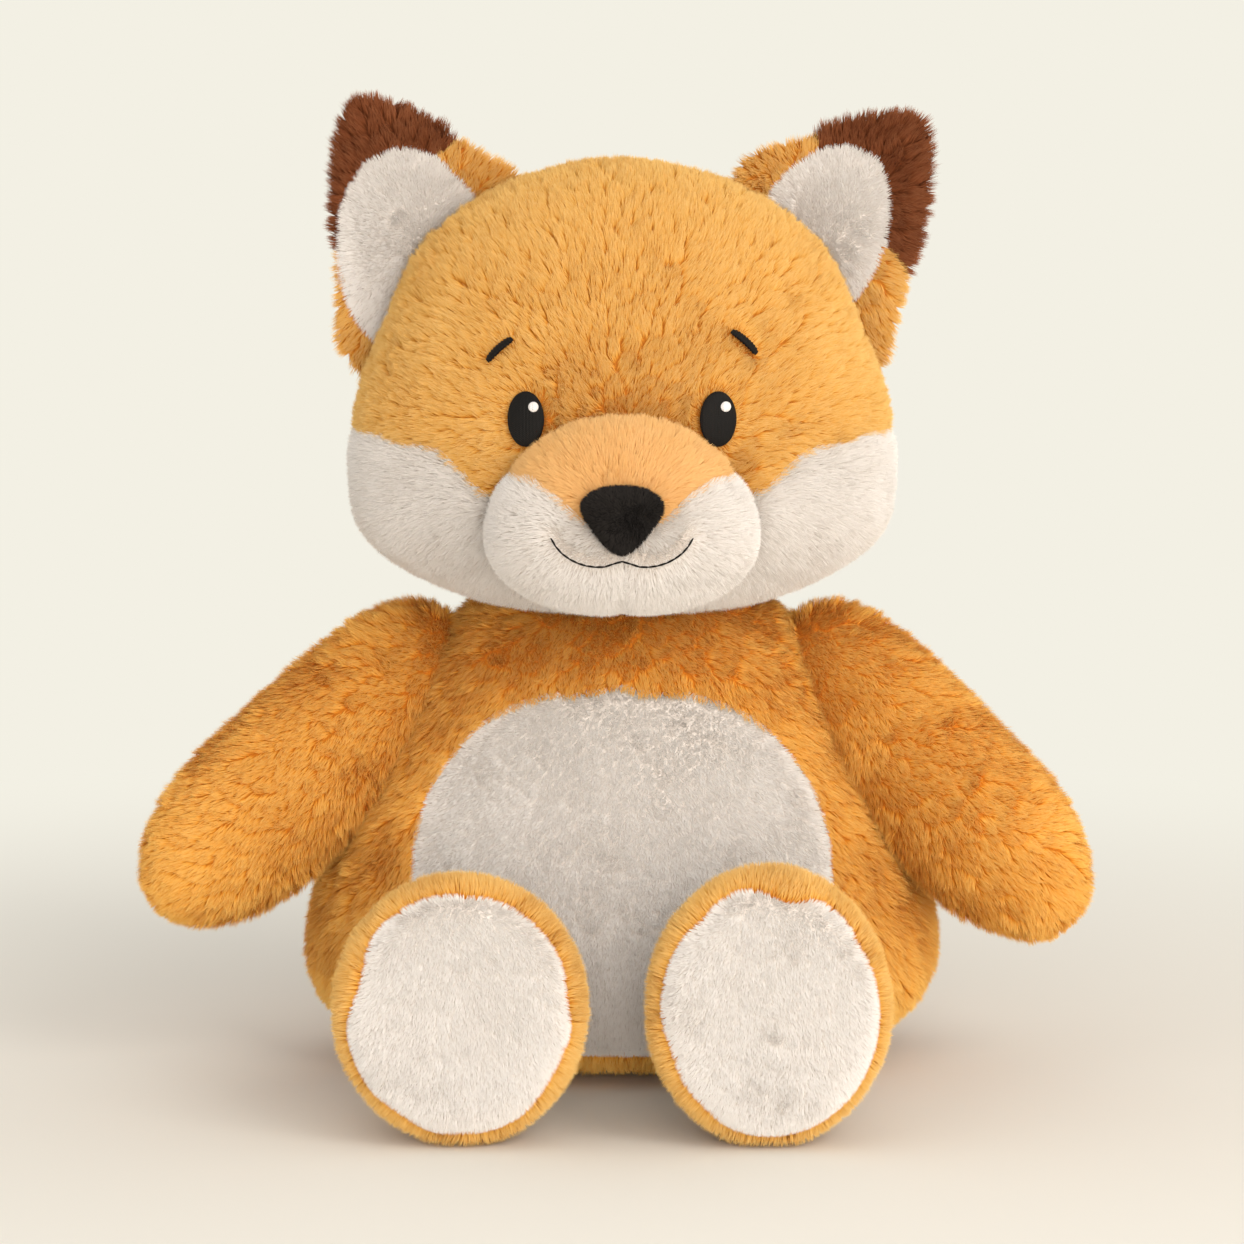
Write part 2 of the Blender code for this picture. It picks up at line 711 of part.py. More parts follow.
def leg_parts(label, side, keepout):
    """One leg: a sleeve with a foot, a sole set into the foot, and the stuffing."""
    centre = hip_centre(label, side)
    place = frame_along(
        Vector((centre.x, centre.y, FOOT_DOWN - FLOOR_CUT)), FRONT, Vector((0, 0, 1))
    )
    foot_half_width, foot_up = FOOT_HALF_WIDTHS[label], FOOT_UPS[label]
    leg_form = Form(
        place, -LEG_ROOT, LEG_LENGTH, foot_half_width, foot_up, FOOT_DOWN,
        LEG_SHARES, LEG_SQUARENESS,
    )
    pole = Vector((1, 0, 0))
    front = centre.y - LEG_LENGTH
    floor = block(
        f"guide_floor_{label}",
        (centre.x - foot_half_width - OVERRUN, front - OVERRUN, -OVERRUN),
        (centre.x + foot_half_width + OVERRUN, centre.y + OVERRUN, 0),
    )
    sole_middle = (foot_up + FOOT_DOWN) / 2 - FLOOR_CUT
    gap = SEAM_GAP / 2

    def sole_prism(name, growth):
        outline = oval(
            centre.x, sole_middle, SOLE_HALF_WIDTHS[label] + growth,
            SOLE_HALF_HEIGHTS[label] + growth, SOLE_SQUARENESS,
        )
        return prism(name, outline, front - OVERRUN, front + LEG_LENGTH * SOLE_DEPTH_SHARE)

    hollow = leg_form.guide(f"guide_leg_hollow_{label}", LIMB_FACETS, -FABRIC)
    sleeve = leg_form.solid(f"leg_sleeve_{label}", LIMB_FACETS)
    cut(sleeve, keepout)
    join(sleeve, ball(f"guide_leg_root_{label}", centre, HIP_RADIUS, SOCKET_FACETS, pole))
    cut(sleeve, hollow, sole_prism(f"guide_sole_hole_{label}", gap), floor)
    sole = leg_form.solid(f"sole_{label}", LIMB_FACETS)
    keep(sole, sole_prism(f"guide_sole_{label}", -gap))
    cut(sole, hollow, floor)
    stuffing = leg_form.solid(f"leg_stuffing_{label}", LIMB_FACETS, -FABRIC - CLEARANCE)
    dress([sleeve], "orange_plush")
    dress([sole], "white_plush")
    dress([stuffing], "polyester_fibre")
    carry(joint_frame(f"hip_{label}", centre), [sleeve, sole, stuffing])


def make_limbs():
    keepouts = [
        body_form.guide(f"guide_body_clear_{index}", BODY_FACETS, growth)
        for index, growth in enumerate(
            (CLEARANCE, CLEARANCE + FABRIC, 2 * CLEARANCE + FABRIC)
        )
    ]
    for label, side in SIDES:
        arm_parts(label, side, keepouts)
        leg_parts(label, side, keepouts[0])


def make_tail():
    centre = tail_centre()
    direction = Vector((0, math.cos(TAIL_RISE), math.sin(TAIL_RISE)))
    place = frame_along(centre, direction, Vector((0, 0, 1)))
    tail_form = Form(
        place, -TAIL_ROOT, TAIL_LENGTH, TAIL_RADIUS, TAIL_RADIUS, TAIL_RADIUS,
        TAIL_SHARES, TAIL_SQUARENESS,
    )
    pole = Vector((0, 0, 1))
    seam = TAIL_LENGTH * TAIL_TIP_SHARE
    wide = TAIL_RADIUS + OVERRUN
    gap = SEAM_GAP / 2
    hollow = tail_form.guide("guide_tail_hollow", INNER_FACETS, -FABRIC)
    root = ball("guide_tail_root", centre, TAIL_BALL_RADIUS, SOCKET_FACETS, pole)
    near = block(
        "guide_tail_near", (-wide, -wide, -wide), (wide, wide, seam - gap), place
    )
    far = block(
        "guide_tail_far", (-wide, -wide, seam + gap), (wide, wide, TAIL_LENGTH + wide), place
    )
    sleeve = tail_form.solid("tail_sleeve", SMALL_FACETS)
    join(sleeve, root)
    keep(sleeve, near)
    cut(sleeve, hollow)
    tip = tail_form.solid("tail_tip", SMALL_FACETS)
    keep(tip, far)
    cut(tip, hollow)
    stuffing = tail_form.solid("tail_stuffing", INNER_FACETS, -FABRIC - CLEARANCE)
    dress([sleeve], "orange_plush")
    dress([tip], "white_plush")
    dress([stuffing], "polyester_fibre")
    carry(joint_frame("tail_joint", centre), [sleeve, tip, stuffing])


def ear_frames(label, side):
    """Two places on the head's side seam: the ear's and its hinge's, x along the hinge.

    The ear's z axis runs to its tip, and its shape leans from there towards the crown.
    """
    height = HEAD_HEIGHT * EAR_SEAT_SHARE
    seat = head_form.surface(height, side * math.pi / 2)
    tilt = EAR_TILTS[label]
    direction = Vector((side * math.sin(tilt), 0, math.cos(tilt)))
    above = head_form.surface(height * (1 + EAR_LEAN_SHARE), side * math.pi / 2)
    below = head_form.surface(height * (1 - EAR_LEAN_SHARE), side * math.pi / 2)
    along = (above - below).normalized()
    outward = Vector((side * along.z, 0, -side * along.x))
    if outward.z < 0:
        outward = -outward
    centre = seat - EAR_INSET * outward
    lean = Matrix.Identity(4)
    lean[0][2] = -side * EAR_SKEW_SHARE
    return frame_along(centre, direction, FRONT) @ lean, frame_along(centre, outward, FRONT)


def ear_parts(label, side, ear_clear):
    """One ear: back piece with a rolled base, tip, and a lining let into the front."""
    place, hinge = ear_frames(label, side)
    ear_form = Form(
        place, -EAR_LENGTH * EAR_ROOT_SHARE, EAR_LENGTH, EAR_HALF_WIDTH,
        EAR_HALF_THICKNESS, EAR_HALF_THICKNESS, EAR_SHARES, EAR_SQUARENESS,
    )
    wide = EAR_HALF_WIDTH + OVERRUN
    seam = EAR_LENGTH - EAR_TIP_LENGTH
    gap = SEAM_GAP / 2

    def lining_prism(name, growth):
        half = LINING_HALF_WIDTHS[label] + growth
        top = LINING_TOPS[label] + growth
        edge = smooth_line([(half * x, top * z) for x, z in LINING_EDGE_SHARES])
        outline = [(x + side * LINING_SHIFTS[label], z) for x, z in mirrored(edge)]
        deep = -EAR_HALF_THICKNESS + LINING_DEPTH + growth
        return prism(name, outline, -EAR_HALF_THICKNESS - OVERRUN, deep, place)

    low_space = block(
        f"guide_ear_low_{label}", (-wide, -wide, -wide), (wide, wide, seam - gap), place
    )
    high_space = block(
        f"guide_ear_high_{label}", (-wide, -wide, seam + gap), (wide, wide, wide + EAR_LENGTH), place
    )
    hole = lining_prism(f"guide_lining_hole_{label}", gap)
    base_roll = rod(
        f"guide_ear_roll_{label}", hinge, EAR_BASE_RADIUS, EAR_BASE_HALF_LENGTH,
        SOCKET_FACETS[0],
    )
    back = ear_form.solid(f"ear_back_{label}", SMALL_FACETS)
    cut(back, ear_clear)
    keep(back, low_space)
    cut(back, hole)
    join(back, base_roll)
    tip = ear_form.solid(f"ear_tip_{label}", SMALL_FACETS)
    keep(tip, high_space)
    cut(tip, hole)
    lining = ear_form.solid(f"ear_lining_{label}", SMALL_FACETS)
    keep(lining, lining_prism(f"guide_lining_{label}", -gap))
    roll_room = rod(
        f"guide_roll_room_{label}", hinge,
        running_radius(EAR_BASE_RADIUS, SOCKET_FACETS[0]), wide, SOCKET_FACETS[0],
    )
    cut(lining, roll_room, ear_clear)
    dress([back], "orange_plush")
    dress([tip], "brown_plush")
    dress([lining], "white_plush")
    return place, [back, tip, lining]


def ear_slot(label, side):
    return rod(
        f"guide_ear_slot_{label}", ear_frames(label, side)[1],
        running_radius(EAR_BASE_RADIUS, SOCKET_FACETS[0]),
        EAR_BASE_HALF_LENGTH + CLEARANCE, SOCKET_FACETS[0],
    )


def make_head():
    """The head's cover, stuffing, muzzle and face. All of it turns on the neck."""
    wide = HEAD_HALF_WIDTH + OVERRUN
    seam_y = -HEAD_FORWARD
    front, back = seam_y - HEAD_FRONT - OVERRUN, seam_y + HEAD_BACK + OVERRUN
    low, high = NECK_HEIGHT + CLEARANCE, HEAD_LOW + HEAD_HEIGHT + OVERRUN
    gap = SEAM_GAP / 2
    slots = [ear_slot(label, side) for label, side in SIDES]
    cavity = head_form.guide("guide_head_cavity", INNER_FACETS, -FABRIC)
    head_clear = head_form.guide("guide_head_clear", HEAD_FACETS, CLEARANCE)

    cheek_line = smooth_line([
        (x * HEAD_HALF_WIDTH, HEAD_LOW + CHEEK_LINE_HEIGHT + z * CHEEK_DIP)
        for x, z in CHEEK_EDGE_SHARES
    ])
    face_outline = [(x, z + gap) for x, z in cheek_line]
    face_outline += [(x, z) for x, z in ((wide, high), (0, high))]
    whole_face = face_outline + [(-x, z) for x, z in reversed(face_outline) if x]
    face_space = prism("guide_face_space", whole_face, front, seam_y - gap)
    back_space = block(
        "guide_head_back_space", (-wide, seam_y + gap, low), (wide, back, high)
    )
    fill_space = block("guide_head_fill_space", (-wide, front, low), (wide, back, high))

    face = head_form.solid("face_panel", HEAD_FACETS)
    keep(face, face_space)
    cut(face, cavity, *slots)
    head_back = head_form.solid("head_back_panel", HEAD_FACETS)
    keep(head_back, back_space)
    cut(head_back, cavity, *slots)
    stuffing = head_form.solid("head_stuffing", INNER_FACETS, -FABRIC - CLEARANCE)
    keep(stuffing, fill_space)
    cut(stuffing, *slots)
    dress([face, head_back], "orange_plush")
    dress([stuffing], "polyester_fibre")
    pieces = [face, head_back, stuffing]

    for label, side in SIDES:
        outline = [(side * max(x, gap), z - gap) for x, z in cheek_line]
        outline += [(side * wide, low), (side * gap, low)]
        cheek_space = prism(f"guide_cheek_space_{label}", outline, front, seam_y - gap)
        cheek = head_form.solid(f"cheek_{label}", HEAD_FACETS)
        keep(cheek, cheek_space)
        cut(cheek, cavity)
        dress([cheek], "white_plush")
        pieces.append(cheek)

    ear_clear = head_form.guide("guide_ear_clear", HEAD_FACETS, EAR_LIFT)
    pieces += make_muzzle(head_clear)
    pieces += make_face(head_clear)
    neck = joint_frame("neck_joint", Vector((0, -HEAD_FORWARD, NECK_HEIGHT)))
    carry(neck, pieces)
    for label, side in SIDES:
        place, ear_pieces = ear_parts(label, side, ear_clear)
        ear_joint = joint_frame(f"ear_joint_{label}", place.translation)
        carry(ear_joint, ear_pieces)
        carry(neck, [ear_joint])


def make_muzzle(head_clear):
    """The muzzle's light bridge, its two white lobes and its stuffing."""
    centre = muzzle_form.place.translation
    wide = MUZZLE_HALF_WIDTH + OVERRUN
    front = centre.y - MUZZLE_REACH - OVERRUN
    low, high = HEAD_LOW - OVERRUN, HEAD_LOW + HEAD_HEIGHT
    gap = SEAM_GAP / 2
    hollow = muzzle_form.guide("guide_muzzle_hollow", INNER_FACETS, -FABRIC)
    backing = head_form.guide("guide_muzzle_backing", HEAD_FACETS, 2 * CLEARANCE)
    neck_space = block(
        "guide_muzzle_neck", (-wide, front, low), (wide, 0, NECK_HEIGHT + CLEARANCE)
    )
    line = smooth_line([
        (x * MUZZLE_HALF_WIDTH, HEAD_LOW + BRIDGE_LINE_HEIGHT + z * BRIDGE_DIP)
        for x, z in BRIDGE_EDGE_SHARES
    ])
    upper = [(x, z + gap) for x, z in line] + [(wide + OVERRUN, high), (0, high)]
    whole = upper + [(-x, z) for x, z in reversed(upper) if x]
    bridge = muzzle_form.solid("muzzle_bridge", SMALL_FACETS)
    keep(bridge, prism("guide_bridge_space", whole, front, 0))
    cut(bridge, hollow, head_clear)
    dress([bridge], "light_orange_plush")
    pieces = [bridge]
    for label, side in SIDES:
        outline = [(side * max(x, gap), z - gap) for x, z in line]
        outline += [(side * (wide + OVERRUN), low), (side * gap, low)]
        lobe = muzzle_form.solid(f"muzzle_lobe_{label}", SMALL_FACETS)
        keep(lobe, prism(f"guide_lobe_space_{label}", outline, front, 0))
        cut(lobe, hollow, head_clear, neck_space)
        dress([lobe], "white_plush")
        pieces.append(lobe)
    stuffing = muzzle_form.solid("muzzle_stuffing", INNER_FACETS, -FABRIC - CLEARANCE)
    cut(stuffing, backing)
    dress([stuffing], "polyester_fibre")
    return pieces + [stuffing]


def surface_patch(name, outline, form, facets, clear, thickness, front, back):
    """A thin sewn piece that lies on a form: an outline of it between two offsets."""
    patch = form.solid(name, facets, CLEARANCE + thickness)
    keep(patch, prism(f"guide_{name}", outline, front, back))
    cut(patch, clear)
    return patch


def make_face(head_clear):
    """Nose pad, eyes with glints, brows and the mouth line."""
    seam_y = -HEAD_FORWARD
    front = seam_y - HEAD_FRONT - MUZZLE_REACH - OVERRUN
    muzzle_clear = muzzle_form.guide("guide_muzzle_clear", SMALL_FACETS, CLEARANCE)
    muzzle_y = muzzle_form.place.translation.y
    nose_middle = MUZZLE_LOW + NOSE_RISE + NOSE_HEIGHT / 2
    nose_seat = muzzle_form.surface(nose_middle, 0.0)
    nose_form = Form(
        Matrix.Translation(nose_seat), -NOSE_HEIGHT / 2, NOSE_HEIGHT / 2,
        NOSE_HALF_WIDTH, NOSE_THICKNESS, NOSE_THICKNESS, NOSE_SHARES,
        NOSE_SQUARENESS,
    )
    nose = nose_form.solid("nose", SMALL_FACETS)
    cut(nose, muzzle_clear)
    dress([nose], "black_felt")
    pieces = [nose]

    mouth_line = smooth_line([
        (x * MOUTH_HALF_WIDTH, HEAD_LOW + MUZZLE_LOW + MOUTH_RISE + z * MOUTH_DROP)
        for x, z in MOUTH_SHARES
    ])
    mouth = surface_patch(
        "mouth_line", stroke(mouth_line, MOUTH_LINE_WIDTH), muzzle_form, SMALL_FACETS,
        muzzle_clear, TRIM_THICKNESS, front, muzzle_y,
    )
    dress([mouth], "black_thread")
    pieces.append(mouth)

    eye_clear = head_form.guide(
        "guide_eye_clear", HEAD_FACETS, 2 * CLEARANCE + TRIM_THICKNESS
    )
    for label, side in SIDES:
        eye_x, eye_z = side * EYE_SPACING, HEAD_LOW + EYE_RISE
        eye = surface_patch(
            f"eye_{label}", oval(eye_x, eye_z, EYE_HALF_WIDTH, EYE_HALF_HEIGHT),
            head_form, HEAD_FACETS, head_clear, TRIM_THICKNESS, front, seam_y,
        )
        cut(eye, muzzle_clear)
        dress([eye], "black_thread")
        glint = surface_patch(
            f"eye_glint_{label}",
            oval(eye_x + GLINT_SHIFT, eye_z + GLINT_RISE, GLINT_RADIUS, GLINT_RADIUS),
            head_form, HEAD_FACETS, eye_clear,
            TRIM_THICKNESS + CLEARANCE + GLINT_THICKNESS, front, seam_y,
        )
        dress([glint], "white_thread")
        half, middle = BROW_LENGTH / 2, HEAD_LOW + BROW_RISES[label]
        line = []
        for step in (-1.0, -0.5, 0.0, 0.5, 1.0):
            run, arch = step * half, BROW_ARCH * (1 - step ** 2)
            line.append((
                side * (BROW_SPACING + run * math.cos(BROW_SLOPE) + arch * math.sin(BROW_SLOPE)),
                middle - run * math.sin(BROW_SLOPE) + arch * math.cos(BROW_SLOPE),
            ))
        brow = surface_patch(
            f"brow_{label}", stroke(line, BROW_WIDTH), head_form, HEAD_FACETS,
            head_clear, TRIM_THICKNESS, front, seam_y,
        )
        dress([brow], "black_thread")
        pieces += [eye, glint, brow]
    return pieces


clear_scene()
make_body()
make_limbs()
make_tail()
make_head()
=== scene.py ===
"""Looks of a sitting plush fox: sewn covers with a real pile, embroidery and felt.

Metres, +Z up, the fox faces -Y. Each stuffed shape is a Form, as in the part's source. A
cover is a fine mesh on its form, parted into sewn panels along the seams, backed with
cloth and planted with strands of pile. The strands lie in tufts, as brushed plush does.
"""

import itertools
import math

import bmesh
import bpy
import numpy as np
from mathutils import Matrix, Vector, noise
from mathutils.bvhtree import BVHTree
from mathutils.kdtree import KDTree


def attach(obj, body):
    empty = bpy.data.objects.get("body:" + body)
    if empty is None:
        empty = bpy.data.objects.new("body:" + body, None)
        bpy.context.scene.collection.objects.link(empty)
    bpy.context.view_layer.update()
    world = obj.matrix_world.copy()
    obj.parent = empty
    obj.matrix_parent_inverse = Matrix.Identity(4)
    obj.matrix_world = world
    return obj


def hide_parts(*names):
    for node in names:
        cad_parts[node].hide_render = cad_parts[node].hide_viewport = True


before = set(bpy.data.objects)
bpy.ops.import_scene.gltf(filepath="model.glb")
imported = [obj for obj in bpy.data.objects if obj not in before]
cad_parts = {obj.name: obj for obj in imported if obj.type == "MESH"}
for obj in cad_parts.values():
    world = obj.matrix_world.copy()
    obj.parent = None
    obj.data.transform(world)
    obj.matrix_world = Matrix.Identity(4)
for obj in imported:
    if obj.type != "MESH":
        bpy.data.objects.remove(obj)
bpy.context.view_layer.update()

MM = 0.001

# Body
FLOOR_CUT = 0.0005
BODY_HALF_WIDTH = 0.110
BODY_FRONT = 0.077
BODY_BACK = 0.075
BODY_TOP = 0.172
BODY_SQUARENESS = 3.6
SEAT_SEAM_HEIGHT = 0.012
BELLY_HALF_WIDTH = 0.070
BELLY_HEIGHT = 0.122

# Head
HEAD_HALF_WIDTH = 0.093
HEAD_FRONT = 0.076
HEAD_BACK = 0.072
HEAD_LOW = 0.153
HEAD_HEIGHT = 0.157
HEAD_FORWARD = 0.010
HEAD_SQUARENESS = 2.3
CHEEK_LINE_HEIGHT = 0.0485
CHEEK_DIP = 0.016

# Muzzle
MUZZLE_HALF_WIDTH = 0.044
MUZZLE_REACH = 0.038
MUZZLE_LOW = 0.009
MUZZLE_HEIGHT = 0.066
MUZZLE_SINK = 0.004
MUZZLE_SQUARENESS = 2.3
BRIDGE_LINE_HEIGHT = 0.0445
BRIDGE_DIP = 0.010

# Nose
NOSE_HALF_WIDTH = 0.015
NOSE_HEIGHT = 0.024
NOSE_THICKNESS = 0.0075
NOSE_RISE = 0.0222
NOSE_SQUARENESS = 2.4

# Eyes, brows and mouth
EYE_SPACING = 0.0312
EYE_RISE = 0.0727
EYE_HALF_WIDTH = 0.0060
EYE_HALF_HEIGHT = 0.0090
EYE_DOME = 0.0016
GLINT_RADIUS = 0.0019
GLINT_RISE = 0.0040
GLINT_SHIFT = 0.0024
GLINT_DOME = 0.0006
BROW_LENGTH = 0.0112
BROW_WIDTH = 0.0024
BROW_SPACING = 0.0398
BROW_RISES = {"left": 0.0972, "right": 0.0948}
BROW_SLOPE = math.radians(42)
BROW_ARCH = 0.0006
MOUTH_HALF_WIDTH = 0.0225
MOUTH_DROP = 0.0085
MOUTH_RISE = 0.0280
MOUTH_THREAD = 0.0007
MOUTH_STITCH = 0.0030
STITCH_ROW = 0.0011
STITCH_DEPTH = 0.00008

# Ears
EAR_HALF_WIDTH = 0.0435
EAR_LENGTH = 0.0560
EAR_HALF_THICKNESS = 0.0085
EAR_INSET = 0.005
EAR_TILTS = {"left": math.radians(55.5), "right": math.radians(43.5)}
EAR_SKEW_SHARE = 0.31
EAR_TIP_LENGTH = 0.034
EAR_SEAT_SHARE = 0.80
EAR_ROOT_SHARE = 0.75
EAR_LEAN_SHARE = 0.02
EAR_SQUARENESS = 2.2
LINING_HALF_WIDTHS = {"left": 0.0235, "right": 0.0280}
LINING_TOPS = {"left": 0.0345, "right": 0.0370}
LINING_SHIFTS = {"left": -0.004, "right": 0.004}

# Arms
ARM_HALF_WIDTH = 0.0295
ARM_HALF_DEPTH = 0.0245
ARM_LENGTH = 0.123
ARM_ROOT = 0.019
ARM_DROPS = {"left": math.radians(46.5), "right": math.radians(43)}
ARM_FORWARD = math.radians(15)
ARM_SQUARENESS = 2.4
SHOULDER_HEIGHT = 0.139
SHOULDER_FORWARD = math.radians(6)
SHOULDER_INSET = 0.001

# Legs
FOOT_HALF_WIDTHS = {"left": 0.0390, "right": 0.0405}
FOOT_UPS = {"left": 0.0465, "right": 0.0435}
FOOT_DOWN = 0.0435
LEG_LENGTH = 0.090
LEG_SQUARENESS = 8.0
LEG_ROOT = 0.008
HIP_HEIGHT = 0.0415
HIP_SPACINGS = {"left": 0.0485, "right": 0.0535}
HIP_INSET = 0.002
SOLE_HALF_WIDTHS = {"left": 0.0325, "right": 0.0345}
SOLE_HALF_HEIGHTS = {"left": 0.0405, "right": 0.0375}
SOLE_SQUARENESS = 2.2
SOLE_DEPTH_SHARE = 0.12
SOLE_WAVER = 0.35
SOLE_WAVE = 0.018

# Tail
TAIL_RADIUS = 0.024
TAIL_LENGTH = 0.100
TAIL_ROOT = 0.012
TAIL_RISE = math.radians(34)
TAIL_HEIGHT = 0.044
TAIL_TIP_SHARE = 0.62
TAIL_SQUARENESS = 2.1

# Rows of shares: height, side, front, back
BODY_SHARES = (
    (0.00, 1.10, 1.12, 1.10),
    (0.09, 1.10, 1.10, 1.10),
    (0.31, 1.00, 1.00, 1.00),
    (0.58, 0.83, 0.86, 0.84),
    (0.76, 0.71, 0.76, 0.72),
    (0.93, 0.62, 0.66, 0.64),
    (1.00, 0.58, 0.62, 0.60),
)
HEAD_SHARES = (
    (0.00, 1.10, 1.00, 1.06),
    (0.15, 1.16, 1.04, 1.10),
    (0.30, 1.06, 1.02, 1.04),
    (0.52, 0.96, 0.98, 0.98),
    (0.65, 0.90, 0.94, 0.94),
    (0.85, 0.875, 0.86, 0.88),
    (0.95, 0.80, 0.80, 0.80),
    (1.00, 0.68, 0.70, 0.70),
)
MUZZLE_SHARES = (
    (0.00, 1.10, 0.90, 1.00),
    (0.30, 1.06, 1.00, 1.00),
    (0.60, 0.96, 1.00, 1.00),
    (0.85, 0.84, 0.92, 1.00),
    (1.00, 0.76, 0.85, 1.00),
)
NOSE_SHARES = (
    (0.00, 0.45, 0.75, 1.00),
    (0.35, 0.70, 0.95, 1.00),
    (0.70, 1.00, 1.00, 1.00),
    (1.00, 1.08, 0.95, 1.00),
)
ARM_SHARES = (
    (0.00, 1.12, 1.14, 1.14),
    (0.20, 1.00, 1.06, 1.06),
    (0.50, 0.98, 1.00, 1.00),
    (0.75, 1.05, 1.02, 1.02),
    (1.00, 1.02, 0.98, 0.98),
)
LEG_SHARES = (
    (0.00, 0.52, 0.50, 0.50),
    (0.22, 0.62, 0.56, 0.62),
    (0.44, 0.76, 0.70, 0.78),
    (0.62, 0.90, 0.87, 0.93),
    (0.78, 0.99, 0.98, 1.00),
    (0.90, 1.00, 1.00, 1.00),
    (1.00, 0.98, 0.98, 0.97),
)
TAIL_SHARES = (
    (0.00, 0.60, 0.60, 0.60),
    (0.20, 0.64, 0.64, 0.64),
    (0.45, 0.84, 0.84, 0.84),
    (0.70, 1.02, 1.02, 1.02),
    (0.90, 0.84, 0.84, 0.84),
    (1.00, 0.62, 0.62, 0.62),
)
EAR_SHARES = (
    (0.00, 0.98, 0.40, 0.40),
    (0.41, 1.00, 0.55, 0.55),
    (0.56, 0.81, 0.86, 0.86),
    (0.72, 0.67, 1.00, 1.00),
    (0.88, 0.53, 1.00, 1.00),
    (1.00, 0.39, 0.90, 0.90),
)

# Seam lines as shares of half width and height, from one side to the middle or back
BELLY_EDGE_SHARES = (
    (0.82, -0.20), (0.90, 0.10), (0.98, 0.32), (1.00, 0.50),
    (0.95, 0.66), (0.82, 0.80), (0.62, 0.91), (0.34, 0.98), (0.00, 1.00),
)
CHEEK_EDGE_SHARES = (
    (0.00, -0.10), (0.44, -0.10), (0.50, 0.10), (0.58, 0.55),
    (0.68, 0.82), (0.85, 0.92), (1.00, 1.00), (1.60, 1.10),
)
LINING_EDGE_SHARES = (
    (0.88, -0.35), (1.00, 0.12), (0.86, 0.52), (0.66, 0.75), (0.38, 0.92), (0.00, 1.00),
)
BRIDGE_EDGE_SHARES = (
    (0.00, -0.20), (0.22, -0.20), (0.38, 0.20), (0.52, 0.65),
    (0.70, 1.00), (0.86, 0.80), (1.00, 0.45), (1.60, -0.30),
)
MOUTH_SHARES = (
    (-1.00, 0.00), (-0.90, -0.42), (-0.74, -0.76), (-0.52, -1.00), (-0.25, -1.04),
    (0.00, -0.82), (0.25, -1.04), (0.52, -1.00), (0.74, -0.76), (0.90, -0.42), (1.00, 0.00),
)
CURVE_STEPS = 4

# Sewn cloth and its seams
BACKING = 0.0010
SEAM_DIP = 0.0008
SEAM_SPREAD = 0.0035
SEAM_EASE_ROUNDS = 5
CREASE_REACH = 0.036
CREASE_TOP = HEAD_LOW + 0.060
CREASE_FADE = 0.018
CREASE_TRIM_SHARE = 2.8
BARE_FROM = 0.006
BARE_TO = 0.013
STAND_SHARE = 0.40
ARM_STAND_SHARE = 0.15
FLOOR_ROOM = 0.0003

# How the pile is cut and lies
ARM_COMB_HEIGHT = 0.175
EAR_PILE_SHARE = 1.4
SOLE_COMB_RISE = 0.100
BROAD_SWIRL = 0.024
FINE_SWIRL = 0.008
SHADE_PATCH = 0.011
STRAY_SHARE = 0.02
SOFT_SHADING = 0.20

# How the stuffing presses the cloth out
PRESSURE = 4
PRESS_FRAMES = 20
PRESS_LIMIT = 0.0020
PRESS_ROOM = 0.0012
FLOOR_REST = 0.0012

# Paper and backdrop
PAPER = "F8F4EA"
BACKDROP = "F3F0E4"

SIDES = (("left", 1), ("right", -1))
FRONT = Vector((0, -1, 0))
seeds = itertools.count(1)


def share_at(rows, height, column):
    """Read a column of a share table at any height, on a smooth curve through its rows."""
    last = len(rows) - 1
    index = 0
    while index < last - 1 and height > rows[index + 1][0]:
        index += 1
    before, after = rows[index], rows[index + 1]
    span = after[0] - before[0]
    along = min(max((height - before[0]) / span, 0.0), 1.0)

    def slope(row):
        below, above = rows[max(row - 1, 0)], rows[min(row + 1, last)]
        return (above[column] - below[column]) / (above[0] - below[0])

    square, cube = along ** 2, along ** 3
    return (
        before[column] * (2 * cube - 3 * square + 1)
        + after[column] * (3 * square - 2 * cube)
        + slope(index) * span * (cube - 2 * square + along)
        + slope(index + 1) * span * (cube - square)
    )


def smooth_line(points):
    """Put points between the given ones, on a smooth curve through them all."""
    line = []
    last = len(points) - 1
    for index in range(last):
        a, b = points[max(index - 1, 0)], points[index]
        c, d = points[index + 1], points[min(index + 2, last)]
        for step in range(CURVE_STEPS):
            t = step / CURVE_STEPS
            line.append(tuple(
                0.5 * (2 * q + (r - p) * t + (2 * p - 5 * q + 4 * r - s) * t ** 2
                       + (3 * q - p - 3 * r + s) * t ** 3)
                for p, q, r, s in zip(a, b, c, d)
            ))
    line.append(tuple(points[-1]))
    return line


def height_on(line, x):
    """The height of a line at x, for a line whose points run outwards from the middle."""
    return float(np.interp(abs(x), [p[0] for p in line], [p[1] for p in line]))


def inside(outline, x, z):
    """True where a point lies within a closed outline."""
    found = False
    for (ax, az), (bx, bz) in zip(outline, outline[1:] + outline[:1]):
        if (az > z) != (bz > z) and x < ax + (z - az) / (bz - az) * (bx - ax):
            found = not found
    return found


def ease(value):
    """A soft step from 0 to 1."""
    value = np.clip(value, 0.0, 1.0)
    return value * value * (3 - 2 * value)


